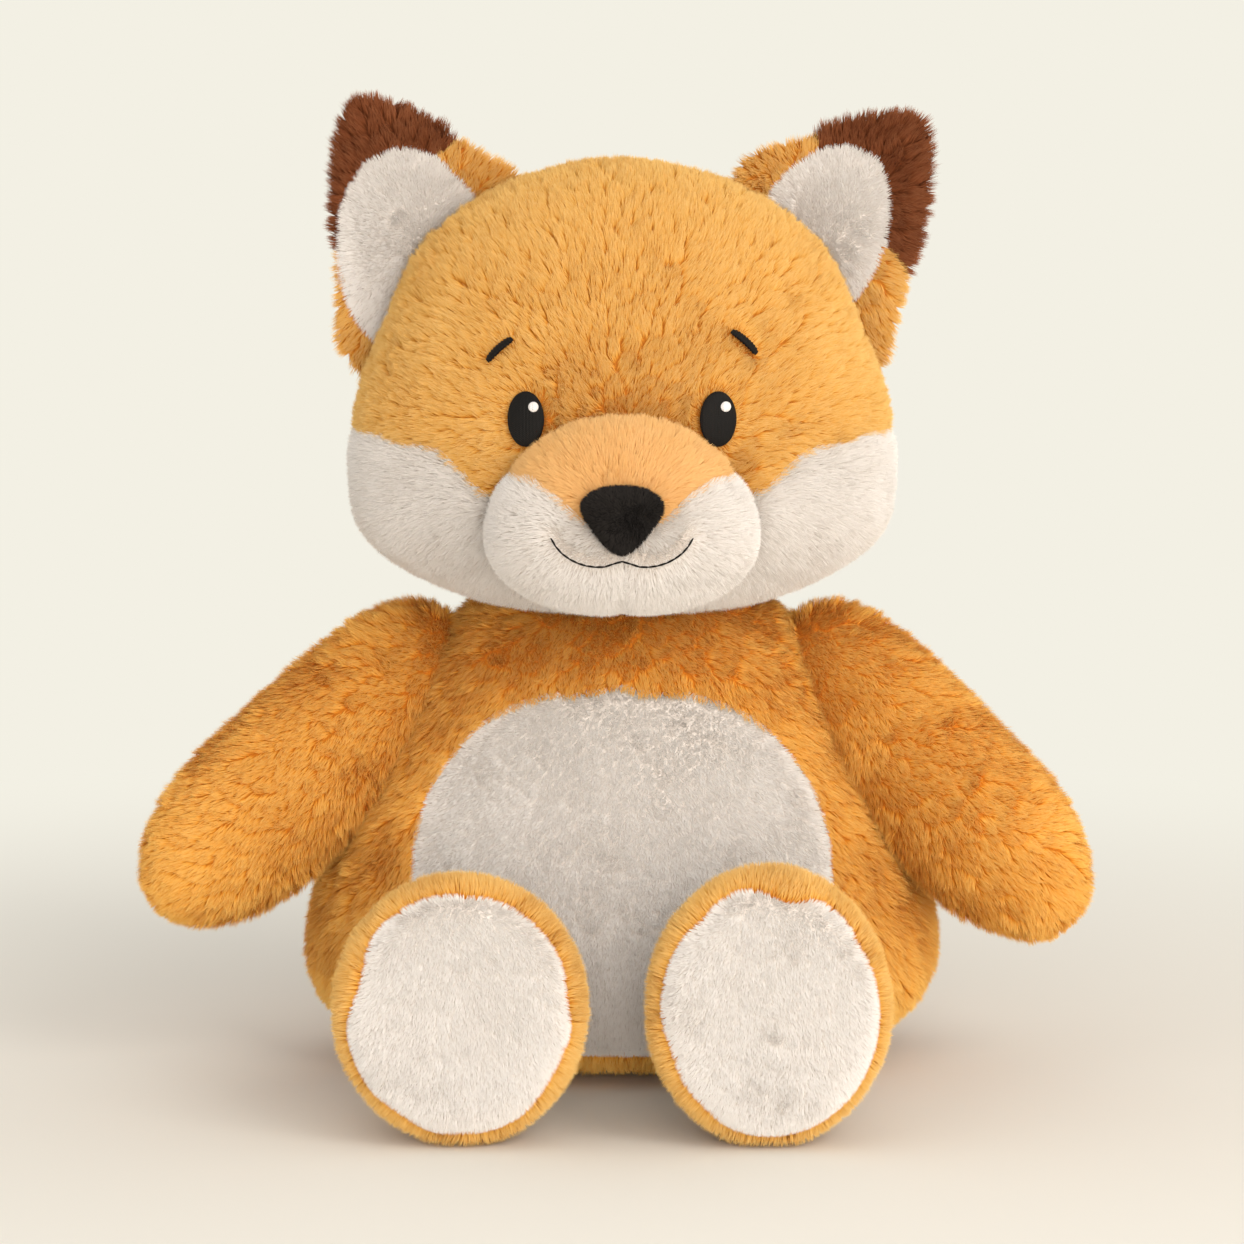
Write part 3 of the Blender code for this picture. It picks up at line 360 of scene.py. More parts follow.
class Form:
    """A stuffed shape whose rings are stacked along its own z axis."""

    def __init__(self, place, low, high, half_width, front, back, shares, squareness):
        self.place = place
        self.low = low
        self.high = high
        self.half_width = half_width
        self.front = front
        self.back = back
        self.shares = shares
        self.squareness = squareness

    def ring_size(self, along, ring, deep, growth=0.0):
        """Half width and half depth of the ring at a height given from -1 to 1."""
        height = (along + 1) / 2
        depth = self.front if deep < 0 else self.back
        column = 2 if deep < 0 else 3
        half_width = ring * (self.half_width * share_at(self.shares, height, 1) + growth)
        half_depth = ring * (depth * share_at(self.shares, height, column) + growth)
        return half_width, half_depth

    def ring_at(self, along):
        return max(1 - abs(along) ** self.squareness, 0.0) ** (1 / self.squareness)

    def mould(self, unit, growth=0.0):
        """Move a point of the unit sphere to the form, with rings evenly spread."""
        reach = math.hypot(unit.x, unit.y)
        power = self.squareness
        flat = (abs(unit.z) ** power + reach ** power) ** (-1 / power)
        along = unit.z * flat
        side = unit.x / reach if reach else 0.0
        deep = unit.y / reach if reach else 0.0
        half_width, half_depth = self.ring_size(along, reach * flat, deep, growth)
        middle, half = (self.low + self.high) / 2, (self.high - self.low) / 2
        return self.place @ Vector((
            side * half_width, deep * half_depth, middle + along * (half + growth),
        ))

    def surface(self, height, around, growth=0.0):
        """The point at a height in the form's own frame and an angle from its front."""
        middle, half = (self.low + self.high) / 2, (self.high - self.low) / 2
        along = (height - middle) / half
        deep = -math.cos(around)
        half_width, half_depth = self.ring_size(along, self.ring_at(along), deep, growth)
        return self.place @ Vector((
            math.sin(around) * half_width, deep * half_depth,
            middle + along * (half + growth),
        ))

    def front_at(self, x, z, lift=0.0):
        """The point of an upright form's front at x and z, lifted off it."""
        local = self.place.inverted() @ Vector((x, 0, z))
        middle, half = (self.low + self.high) / 2, (self.high - self.low) / 2
        along = (local.z - middle) / half
        half_width, half_depth = self.ring_size(along, self.ring_at(along), -1)
        across = min(abs(local.x) / half_width, 1.0)
        local.y = -half_depth * math.sqrt(1 - across ** 2) - lift
        return self.place @ local

    def depth_of(self, point):
        """How deep a point lies inside the form, about, and negative outside it."""
        local = self.place.inverted() @ Vector(point)
        middle, half = (self.low + self.high) / 2, (self.high - self.low) / 2
        along = (local.z - middle) / half
        if abs(along) >= 1:
            return (1 - abs(along)) * half
        half_width, half_depth = self.ring_size(along, self.ring_at(along), local.y)
        reach = math.hypot(local.x / half_width, local.y / half_depth)
        return min((1 - reach) * min(half_width, half_depth), (1 - abs(along)) * half)


def frame_along(origin, direction, front):
    """A place whose z axis is the direction and whose -y axis leans towards front."""
    z_axis = direction.normalized()
    y_axis = -(front - front.project(z_axis)).normalized()
    x_axis = y_axis.cross(z_axis)
    turn = Matrix((x_axis, y_axis, z_axis)).transposed().to_4x4()
    return Matrix.Translation(origin) @ turn


body_form = Form(
    Matrix.Identity(4), -FLOOR_CUT, BODY_TOP, BODY_HALF_WIDTH, BODY_FRONT, BODY_BACK,
    BODY_SHARES, BODY_SQUARENESS,
)
head_form = Form(
    Matrix.Translation((0, -HEAD_FORWARD, HEAD_LOW)), 0, HEAD_HEIGHT, HEAD_HALF_WIDTH,
    HEAD_FRONT, HEAD_BACK, HEAD_SHARES, HEAD_SQUARENESS,
)
muzzle_form = Form(
    Matrix.Translation((0, -HEAD_FORWARD - HEAD_FRONT + MUZZLE_SINK, HEAD_LOW)),
    MUZZLE_LOW, MUZZLE_LOW + MUZZLE_HEIGHT, MUZZLE_HALF_WIDTH, MUZZLE_REACH,
    MUZZLE_REACH, MUZZLE_SHARES, MUZZLE_SQUARENESS,
)
nose_form = Form(
    Matrix.Translation(muzzle_form.surface(MUZZLE_LOW + NOSE_RISE + NOSE_HEIGHT / 2, 0.0)),
    -NOSE_HEIGHT / 2, NOSE_HEIGHT / 2, NOSE_HALF_WIDTH, NOSE_THICKNESS, NOSE_THICKNESS,
    NOSE_SHARES, NOSE_SQUARENESS,
)


def arm_form(label, side):
    around = side * (math.pi / 2 - SHOULDER_FORWARD)
    centre = body_form.surface(SHOULDER_HEIGHT, around, -SHOULDER_INSET)
    drop = ARM_DROPS[label]
    direction = Vector((
        side * math.cos(drop) * math.cos(ARM_FORWARD),
        -math.sin(ARM_FORWARD),
        -math.sin(drop) * math.cos(ARM_FORWARD),
    ))
    return Form(
        frame_along(centre, direction, FRONT), -ARM_ROOT, ARM_LENGTH, ARM_HALF_WIDTH,
        ARM_HALF_DEPTH, ARM_HALF_DEPTH, ARM_SHARES, ARM_SQUARENESS,
    )


def leg_form(label, side):
    share = share_at(BODY_SHARES, HIP_HEIGHT / BODY_TOP, 1)
    around = side * math.asin(HIP_SPACINGS[label] / (BODY_HALF_WIDTH * share))
    centre = body_form.surface(HIP_HEIGHT, around, -HIP_INSET)
    start = Vector((centre.x, centre.y, FOOT_DOWN - FLOOR_CUT))
    return Form(
        frame_along(start, FRONT, Vector((0, 0, 1))), -LEG_ROOT, LEG_LENGTH,
        FOOT_HALF_WIDTHS[label], FOOT_UPS[label], FOOT_DOWN, LEG_SHARES, LEG_SQUARENESS,
    )


def tail_form():
    direction = Vector((0, math.cos(TAIL_RISE), math.sin(TAIL_RISE)))
    centre = body_form.surface(TAIL_HEIGHT, math.pi)
    return Form(
        frame_along(centre, direction, Vector((0, 0, 1))), -TAIL_ROOT, TAIL_LENGTH,
        TAIL_RADIUS, TAIL_RADIUS, TAIL_RADIUS, TAIL_SHARES, TAIL_SQUARENESS,
    )


def ear_form(label, side):
    """The ear, on the head's side seam. Its shape leans from its tip towards the crown."""
    height = HEAD_HEIGHT * EAR_SEAT_SHARE
    around = side * math.pi / 2
    above = head_form.surface(height * (1 + EAR_LEAN_SHARE), around)
    below = head_form.surface(height * (1 - EAR_LEAN_SHARE), around)
    along = (above - below).normalized()
    outward = Vector((abs(along.z) * side, 0, abs(along.x)))
    centre = head_form.surface(height, around) - EAR_INSET * outward
    tilt = EAR_TILTS[label]
    direction = Vector((side * math.sin(tilt), 0, math.cos(tilt)))
    lean = Matrix.Identity(4)
    lean[0][2] = -side * EAR_SKEW_SHARE
    return Form(
        frame_along(centre, direction, FRONT) @ lean, -EAR_LENGTH * EAR_ROOT_SHARE,
        EAR_LENGTH, EAR_HALF_WIDTH, EAR_HALF_THICKNESS, EAR_HALF_THICKNESS, EAR_SHARES,
        EAR_SQUARENESS,
    )


def linear(hex_colour):
    """Turn an sRGB hex colour into the linear values that a shader takes."""
    values = []
    for start in (0, 2, 4):
        level = int(hex_colour[start:start + 2], 16) / 255
        low_part = level / 12.92
        high_part = ((level + 0.055) / 1.055) ** 2.4
        values.append(low_part if level <= 0.04045 else high_part)
    return (*values, 1.0)


def add_node(tree, kind, settings=(), inputs=()):
    """Add a node with its settings, and set or link its inputs."""
    node = tree.nodes.new(kind)
    for key, value in dict(settings).items():
        setattr(node, key, value)
    for key, value in dict(inputs).items():
        if isinstance(value, bpy.types.NodeSocket):
            tree.links.new(value, node.inputs[key])
        else:
            node.inputs[key].default_value = value
    return node


def ramp_node(tree, factor, stops):
    """A colour ramp through stops of place and hex colour."""
    ramp = add_node(tree, "ShaderNodeValToRGB", inputs={"Fac": factor})
    elements = ramp.color_ramp.elements
    elements[0].position, elements[0].color = stops[0][0], linear(stops[0][1])
    elements[1].position, elements[1].color = stops[-1][0], linear(stops[-1][1])
    for place, colour in stops[1:-1]:
        elements.new(place).color = linear(colour)
    return ramp


def new_material(name, roughness):
    material = bpy.data.materials.new(name)
    material.use_nodes = True
    tree = material.node_tree
    shader = tree.nodes["Principled BSDF"]
    shader.inputs["Roughness"].default_value = roughness
    return material, tree, shader


def plush_pile(name, shaded, light, roughness=0.9, sheen=0.2):
    """Brushed polyester pile: darker towards the backing, which is painted shade deep in the
    pile, light at the tips, each strand its own shade. The map's first part is the strand's
    shade, a random tone with painted shade at the tufts' edges, and its second runs root to
    tip."""
    material, tree, shader = new_material(name, roughness)
    strand = add_node(tree, "ShaderNodeUVMap", {"uv_map": "OFBake"})
    parts = add_node(tree, "ShaderNodeSeparateXYZ", inputs={"Vector": strand.outputs["UV"]})
    dark = ramp_node(tree, parts.outputs["Y"], shaded)
    pale = ramp_node(tree, parts.outputs["Y"], light)
    colour = add_node(
        tree, "ShaderNodeMix", {"data_type": "RGBA"}, {"Factor": parts.outputs["X"]}
    )
    tree.links.new(dark.outputs["Color"], colour.inputs["A"])
    tree.links.new(pale.outputs["Color"], colour.inputs["B"])
    tree.links.new(colour.outputs["Result"], shader.inputs["Base Color"])
    shader.inputs["Sheen Weight"].default_value = sheen
    shader.inputs["Sheen Roughness"].default_value = 0.5
    shader.inputs["Sheen Tint"].default_value = linear(light[-1][1])
    shader.inputs["Specular IOR Level"].default_value = 0.2
    return material


def satin_thread(name, dark, pale, pitch, roughness):
    """Embroidery thread laid side by side, which shines along its rows. Its colour is paler
    on each row's crest and darker between rows: painted highlight and painted shade.
    """
    material, tree, shader = new_material(name, roughness)
    place = add_node(tree, "ShaderNodeTexCoord")
    rows = add_node(
        tree, "ShaderNodeTexWave", {"bands_direction": "DIAGONAL"},
        {"Vector": place.outputs["Object"], "Scale": 0.5 / pitch, "Distortion": 1.5,
         "Detail": 2.0, "Detail Scale": 1.5},
    )
    shader.inputs["Specular IOR Level"].default_value = 0.2
    # Paler on the rows' crests, darker between them: painted highlight and painted shade.
    colour = ramp_node(tree, rows.outputs["Fac"], ((0.1, dark), (0.9, pale)))
    bump = add_node(
        tree, "ShaderNodeBump", {},
        {"Height": rows.outputs["Fac"], "Strength": 0.5, "Distance": pitch / 3},
    )
    tree.links.new(colour.outputs["Color"], shader.inputs["Base Color"])
    tree.links.new(bump.outputs["Normal"], shader.inputs["Normal"])
    return material


def loose_cloth(name, dark, pale, grain, roughness):
    """Fibre or plain cloth inside the toy, with an uneven matted surface."""
    material, tree, shader = new_material(name, roughness)
    place = add_node(tree, "ShaderNodeTexCoord")
    mat = add_node(
        tree, "ShaderNodeTexNoise", {},
        {"Vector": place.outputs["Object"], "Scale": 1 / grain, "Detail": 6.0},
    )
    colour = ramp_node(tree, mat.outputs["Fac"], ((0.3, dark), (0.7, pale)))
    bump = add_node(
        tree, "ShaderNodeBump", {},
        {"Height": mat.outputs["Fac"], "Strength": 0.6, "Distance": grain / 4},
    )
    tree.links.new(colour.outputs["Color"], shader.inputs["Base Color"])
    tree.links.new(bump.outputs["Normal"], shader.inputs["Normal"])
    return material


# Each pile's ramps run darker towards the backing: painted shade deep in the pile.
MATERIALS = {
    "orange_plush": plush_pile(
        "orange_plush",
        ((0.0, "BE7120"), (0.15, "D98A29"), (0.4, "E6AA4A"), (1.0, "ECC372")),
        ((0.0, "C87E2C"), (0.15, "E29938"), (0.4, "F0BC5F"), (1.0, "F6D58F")),
    ),
    # The orange pile of the body and arms, lighter than the head's: painted light against the
    # shade that the head casts on them and the sky light they lose. It is the same cloth as
    # the orange plush.
    "bright_orange_plush": plush_pile(
        "bright_orange_plush",
        ((0.0, "CC7A1C"), (0.15, "EA9526"), (0.4, "F8B546"), (1.0, "FDCD6C")),
        ((0.0, "D8882A"), (0.15, "F2A436"), (0.4, "FFC65C"), (1.0, "FFDD88")),
    ),
    "light_orange_plush": plush_pile(
        "light_orange_plush",
        ((0.0, "DDA259"), (0.35, "ECB970"), (1.0, "F0C27C")),
        ((0.0, "E4AC64"), (0.35, "F2C482"), (1.0, "F7CE90")),
    ),
    "white_plush": plush_pile(
        "white_plush",
        ((0.0, "CFC6BD"), (0.15, "E3DCD5"), (0.4, "ECE7E2"), (1.0, "EFEBE6")),
        ((0.0, "D5CCC4"), (0.15, "E8E2DC"), (0.4, "F1EEEA"), (1.0, "F5F3F0")),
    ),
    # The white pile of the belly, soles and ear linings is really shorter, but its paler
    # colour is painted light against the shade on these parts. It is the same cloth as the
    # white plush.
    "sheared_white_plush": plush_pile(
        "sheared_white_plush",
        ((0.0, "E4DED8"), (0.15, "F1ECE7"), (0.4, "F8F4F0"), (1.0, "FAF8F5")),
        ((0.0, "E9E4DF"), (0.15, "F4F0EC"), (0.4, "FAF8F5"), (1.0, "FDFCFB")),
    ),
    "brown_plush": plush_pile(
        "brown_plush",
        ((0.0, "603218"), (0.35, "793F20"), (1.0, "8C4E2E")),
        ((0.0, "6E3B1B"), (0.35, "935431"), (1.0, "AE7450")),
    ),
    "black_felt": plush_pile(
        "black_felt",
        ((0.0, "141211"), (0.35, "1D1B1A"), (1.0, "262321")),
        ((0.0, "1A1817"), (0.35, "272422"), (1.0, "36322F")),
    ),
    "black_thread": satin_thread("black_thread", "0A0908", "171513", 0.5 * MM, 0.60),
    "white_thread": satin_thread("white_thread", "E2DDDA", "FFFDFB", 0.5 * MM, 0.60),
    "polyester_fibre": loose_cloth("polyester_fibre", "DCDAD4", "F6F5F1", 6 * MM, 1.0),
    "pellet_bag_cloth": loose_cloth("pellet_bag_cloth", "B8AE9A", "D6CEBC", 1.5 * MM, 0.9),
}


def object_from(bm, name):
    mesh = bpy.data.meshes.new(name)
    bm.to_mesh(mesh)
    bm.free()
    item = bpy.data.objects.new(name, mesh)
    bpy.context.scene.collection.objects.link(item)
    return item


def finish_piece(item, finish_name, body, nodes):
    """Give a piece its finish and its body, and hide the CAD nodes that it stands for. The
    sheared white and the bright orange plush are the same two cloths, coloured lighter:
    painted light against the shade on the belly, soles, ear linings, body and arms. The
    sheared pile is also really shorter."""
    item.data.materials.clear()
    item.data.materials.append(MATERIALS[finish_name])
    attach(item, body)
    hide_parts(*nodes)
    return item


def satin_pad(name, form, centre_x, centre_z, half_width, half_height, dome, sink):
    """A domed pad of satin stitch on the front of a form, its rows upright."""
    bm = bmesh.new()
    bmesh.ops.create_uvsphere(bm, u_segments=96, v_segments=48, radius=1.0)
    for vert in bm.verts:
        side, rise, out = vert.co
        x, z = centre_x + side * half_width, centre_z + rise * half_height
        raised = abs(out) ** 0.7
        lift = dome * raised if out > 0 else -sink * raised
        row = math.cos(2 * math.pi * x / STITCH_ROW) if out > 0 else 0.0
        vert.co = form.front_at(x, z, lift + STITCH_DEPTH * row * raised)
    bmesh.ops.recalc_face_normals(bm, faces=bm.faces)
    item = object_from(bm, name)
    item.data.shade_smooth()
    return item


def stitched_brow(name, side, rise):
    """A brow: one slanting bar of satin stitch, its stitches across the bar."""
    bm = bmesh.new()
    bmesh.ops.create_uvsphere(bm, u_segments=32, v_segments=64, radius=1.0)
    along_x, along_z = math.cos(BROW_SLOPE), -math.sin(BROW_SLOPE)
    for vert in bm.verts:
        run = vert.co.z * BROW_LENGTH / 2
        ring = math.hypot(vert.co.x, vert.co.y)
        full = (1 - abs(vert.co.z) ** 4) ** 0.25 / ring if ring else 0.0
        ridge = 1 + 0.12 * math.cos(2 * math.pi * run / STITCH_ROW)
        across = vert.co.x * full * BROW_WIDTH / 2 * ridge
        across += BROW_ARCH * (1 - vert.co.z ** 2)
        out = vert.co.y * full * BROW_WIDTH * 0.55 * ridge
        x = BROW_SPACING + run * along_x - across * along_z
        z = HEAD_LOW + rise + run * along_z + across * along_x
        vert.co = head_form.front_at(side * x, z, out)
    bmesh.ops.recalc_face_normals(bm, faces=bm.faces)
    item = object_from(bm, name)
    item.data.shade_smooth()
    return item


def points_along(line, spacing):
    """Points at even spacing along a line of points."""
    steps = [0.0]
    for before, after in zip(line, line[1:]):
        steps.append(steps[-1] + math.dist(before, after))
    count = round(steps[-1] / spacing)
    places = np.linspace(0, steps[-1], count + 1)
    return [
        tuple(np.interp(place, steps, [p[axis] for p in line]) for axis in (0, 1))
        for place in places
    ]


def stitched_mouth():
    """The mouth: a line of slightly overlapping stitches of black thread."""
    line = smooth_line([
        (x * MOUTH_HALF_WIDTH, HEAD_LOW + MUZZLE_LOW + MOUTH_RISE + z * MOUTH_DROP)
        for x, z in MOUTH_SHARES
    ])
    ends = [Vector(muzzle_form.front_at(x, z)) for x, z in points_along(line, MOUTH_STITCH)]
    bm = bmesh.new()
    for start, end in zip(ends, ends[1:]):
        stitch = bmesh.ops.create_uvsphere(bm, u_segments=10, v_segments=8, radius=1.0)
        length = (end - start).length * 0.62
        place = frame_along((start + end) / 2, end - start, FRONT)
        size = Matrix.Diagonal((MOUTH_THREAD / 2, MOUTH_THREAD / 2, length, 1))
        bmesh.ops.transform(bm, matrix=place @ size, verts=stitch["verts"])
    bmesh.ops.recalc_face_normals(bm, faces=bm.faces)
    item = object_from(bm, "mouth_stitching")
    item.data.shade_smooth()
    return item


def make_trims():
    """Eyes, glints, brows and mouth. Returns where the pile is trimmed round each."""
    trims = []
    for label, side in SIDES:
        eye_x, eye_z = side * EYE_SPACING, HEAD_LOW + EYE_RISE
        eye = satin_pad(
            f"eye_embroidery_{label}", head_form, eye_x, eye_z, EYE_HALF_WIDTH,
            EYE_HALF_HEIGHT, EYE_DOME, 3 * MM,
        )
        finish_piece(eye, "black_thread", "head", [f"eye_{label}"])
        glint = satin_pad(
            f"eye_glint_stitches_{label}", head_form, eye_x + GLINT_SHIFT,
            eye_z + GLINT_RISE, GLINT_RADIUS, GLINT_RADIUS, EYE_DOME + GLINT_DOME, 0.0,
        )
        finish_piece(glint, "white_thread", "head", [f"eye_glint_{label}"])
        brow = stitched_brow(f"brow_embroidery_{label}", side, BROW_RISES[label])
        finish_piece(brow, "black_thread", "head", [f"brow_{label}"])
        trims.append((bvh_of(eye), 5 * MM, 0.50))
        trims.append((bvh_of(brow), 4 * MM, 0.45))
    mouth = stitched_mouth()
    finish_piece(mouth, "black_thread", "head", ["mouth_line"])
    trims.append((bvh_of(mouth), 7 * MM, 0.42))
    return trims


def bvh_of(item):
    mesh = item.data
    return BVHTree.FromPolygons(
        [v.co.copy() for v in mesh.vertices], [tuple(p.vertices) for p in mesh.polygons]
    )


class Pile:
    """How a cover's pile is cut and brushed. Lengths are in metres."""

    def __init__(
        self, length, width, spacing, lift, lean, swirl, tuft, pull, spill, comb_from
    ):
        self.length = length
        self.width = width
        self.density = 1 / spacing ** 2
        self.lift = lift
        self.lean = lean
        self.swirl = swirl
        self.tuft = tuft
        self.pull = pull
        self.spill = spill
        self.comb_from = np.array(comb_from)


class Panel:
    """One sewn panel: the test that finds its faces, its finish and its CAD nodes.

    A panel at the back or below gets fewer strands, each wider, and a sheared panel gets
    more and finer ones."""

    def __init__(self, name, test, finish, nodes, strand_share=1.0):
        self.name = name
        self.test = test
        self.finish = finish
        self.nodes = nodes
        self.strand_share = strand_share


def trim_share(point, trims):
    """How much of its length the pile keeps near the embroidery, from 0 to 1."""
    share = 1.0
    for tree, reach, shortest in trims:
        distance = tree.find_nearest(point, reach)[3]
        if distance is not None:
            share = min(share, shortest + (1 - shortest) * float(ease(distance / reach)))
    return share


def dense_cover(
    form, facets, pile, panels, hidden_in, trims=(), stand=STAND_SHARE, sewn_to=None
):
    """A fine mesh on a form, its faces told apart by panel, drawn in under the pile."""
    bm = bmesh.new()
    bmesh.ops.create_uvsphere(bm, u_segments=facets[0], v_segments=facets[1], radius=1.0)
    half_turn = Matrix.Rotation(math.pi / facets[0], 4, "Z")
    shortening = bm.verts.layers.float.new("shortening")
    for vert in bm.verts:
        unit = half_turn @ vert.co
        share = trim_share(form.mould(unit), trims)
        vert[shortening] = share
        vert.co = form.mould(unit, -PRESS_ROOM - stand * pile.length * share)
    into = form.place.inverted()
    for face in bm.faces:
        centre = face.calc_center_median()
        local = into @ centre
        face.material_index = next(
            index for index, panel in enumerate(panels) if panel.test(centre, local)
        )
        face.smooth = True
    bm.normal_update()
    if sewn_to:
        fill_crease(bm, sewn_to, trims)
    draw_in_seams(bm)
    cover = bm.verts.layers.float.new("cover")
    for vert in bm.verts:
        depth = max((other.depth_of(vert.co) for other in hidden_in), default=-1.0)
        vert[cover] = 1 - float(ease((depth - BARE_FROM) / (BARE_TO - BARE_FROM)))
    press_out(bm)
    return bm


def fill_crease(bm, other, trims):
    """Push the cloth out where it meets another shape, as the stuffing there does. It
    stays put near the embroidery, above the cheeks and where it faces down."""
    shape = bmesh.new()
    bmesh.ops.create_uvsphere(shape, u_segments=96, v_segments=64, radius=1.0)
    for vert in shape.verts:
        vert.co = other.mould(vert.co.copy())
    tree = BVHTree.FromBMesh(shape)
    shape.free()
    kept = [(trim, CREASE_TRIM_SHARE * reach, 0.0) for trim, reach, _ in trims]
    for vert in bm.verts:
        distance = tree.find_nearest(vert.co, CREASE_REACH)[3]
        if distance is not None:
            near = (1 - distance / CREASE_REACH) ** 2
            level = 1 - max(-vert.normal.z, 0.0)
            level *= float(ease((CREASE_TOP - vert.co.z) / CREASE_FADE))
            swell = CREASE_REACH / 4 * near * level * trim_share(vert.co, kept)
            vert.co += vert.normal * swell
    bm.normal_update()


def press_out(bm):
    """Press the cloth out as its stuffing does, in a cloth simulation. Seams hold it."""
    near_seam = bm.verts.layers.float["near_seam"]
    cover = bm.verts.layers.float["cover"]
    item = object_from(bm.copy(), "cover_cloth")
    group = item.vertex_groups.new(name="held")
    for index, vert in enumerate(bm.verts):
        group.add([index], max(vert[near_seam], 1 - vert[cover]), "REPLACE")
    cloth = item.modifiers.new("pressure", "CLOTH")
    cloth.settings.use_pressure = True
    cloth.settings.uniform_pressure_force = PRESSURE
    cloth.settings.effector_weights.gravity = 0
    cloth.settings.vertex_group_mass = "held"
    cloth.collision_settings.use_collision = False
    for moment in range(1, PRESS_FRAMES + 1):
        bpy.context.scene.frame_set(moment)
    pressed = item.evaluated_get(bpy.context.evaluated_depsgraph_get()).data.vertices
    for vert, target in zip(bm.verts, pressed):
        move = target.co - vert.co
        if move.length > PRESS_LIMIT:
            move.length = PRESS_LIMIT
        vert.co += move
        vert.co.z = max(vert.co.z, FLOOR_REST)
    bpy.data.objects.remove(item)
    bpy.context.scene.frame_set(1)
    bm.normal_update()


def draw_in_seams(bm):
    """Even out the panels' edges and draw the cloth in along the thread."""
    seam_verts = [
        v for v in bm.verts if len({f.material_index for f in v.link_faces}) > 1
    ]
    neighbours = {}
    for vert in seam_verts:
        neighbours[vert] = [
            edge.other_vert(vert) for edge in vert.link_edges
            if len({f.material_index for f in edge.link_faces}) > 1
        ]
    for _ in range(SEAM_EASE_ROUNDS):
        moved = {
            vert: (vert.co + sum((o.co for o in others), Vector()) / len(others)) / 2
            for vert, others in neighbours.items() if len(others) > 1
        }
        for vert, place in moved.items():
            vert.co = place
    tree = KDTree(max(len(seam_verts), 1))
    for index, vert in enumerate(seam_verts):
        tree.insert(vert.co, index)
    tree.balance()
    near_seam = bm.verts.layers.float.new("near_seam")
    for vert in bm.verts:
        distance = tree.find(vert.co)[2] if seam_verts else 1.0
        vert[near_seam] = math.exp(-(distance / SEAM_SPREAD) ** 2)
    for vert in bm.verts:
        vert.co -= vert.normal * SEAM_DIP * vert[near_seam]


def strand_shape():
    """One strand of pile a unit long: a blade of one face that narrows to its tip."""
    bm = bmesh.new()
    along = bm.verts.layers.float.new("along")
    corners = ((-0.5, 0, 0), (0.5, 0, 0), (0, 0, 1))
    verts = [bm.verts.new(corner) for corner in corners]
    for vert in verts:
        vert[along] = vert.co.z
    bm.faces.new(verts)
    return object_from(bm, "strand_shape")


def scatter_tree():
    """Geometry nodes that plant roots on a cover, as many as its density asks."""
    tree = bpy.data.node_groups.new("plant_roots", "GeometryNodeTree")
    tree.interface.new_socket("Geometry", in_out="INPUT", socket_type="NodeSocketGeometry")
    tree.interface.new_socket("Density", in_out="INPUT", socket_type="NodeSocketFloat")
    tree.interface.new_socket("Seed", in_out="INPUT", socket_type="NodeSocketInt")
    tree.interface.new_socket("Geometry", in_out="OUTPUT", socket_type="NodeSocketGeometry")
    start = add_node(tree, "NodeGroupInput")
    cover = add_node(
        tree, "GeometryNodeInputNamedAttribute", {"data_type": "FLOAT"}, {"Name": "cover"}
    )
    density = add_node(
        tree, "ShaderNodeMath", {"operation": "MULTIPLY"},
        {0: start.outputs["Density"], 1: cover.outputs["Attribute"]},
    )
    normal = add_node(tree, "GeometryNodeInputNormal")
    named = add_node(
        tree, "GeometryNodeStoreNamedAttribute",
        {"data_type": "FLOAT_VECTOR", "domain": "POINT"},
        {"Geometry": start.outputs["Geometry"], "Name": "root_normal",
         "Value": normal.outputs["Normal"]},
    )
    planted = add_node(
        tree, "GeometryNodeDistributePointsOnFaces", {"distribute_method": "RANDOM"},
        {"Mesh": named.outputs["Geometry"], "Density": density.outputs["Value"],
         "Seed": start.outputs["Seed"]},
    )
    verts = add_node(
        tree, "GeometryNodePointsToVertices", {}, {"Points": planted.outputs["Points"]}
    )
    add_node(tree, "NodeGroupOutput", {}, {"Geometry": verts.outputs["Mesh"]})
    return tree


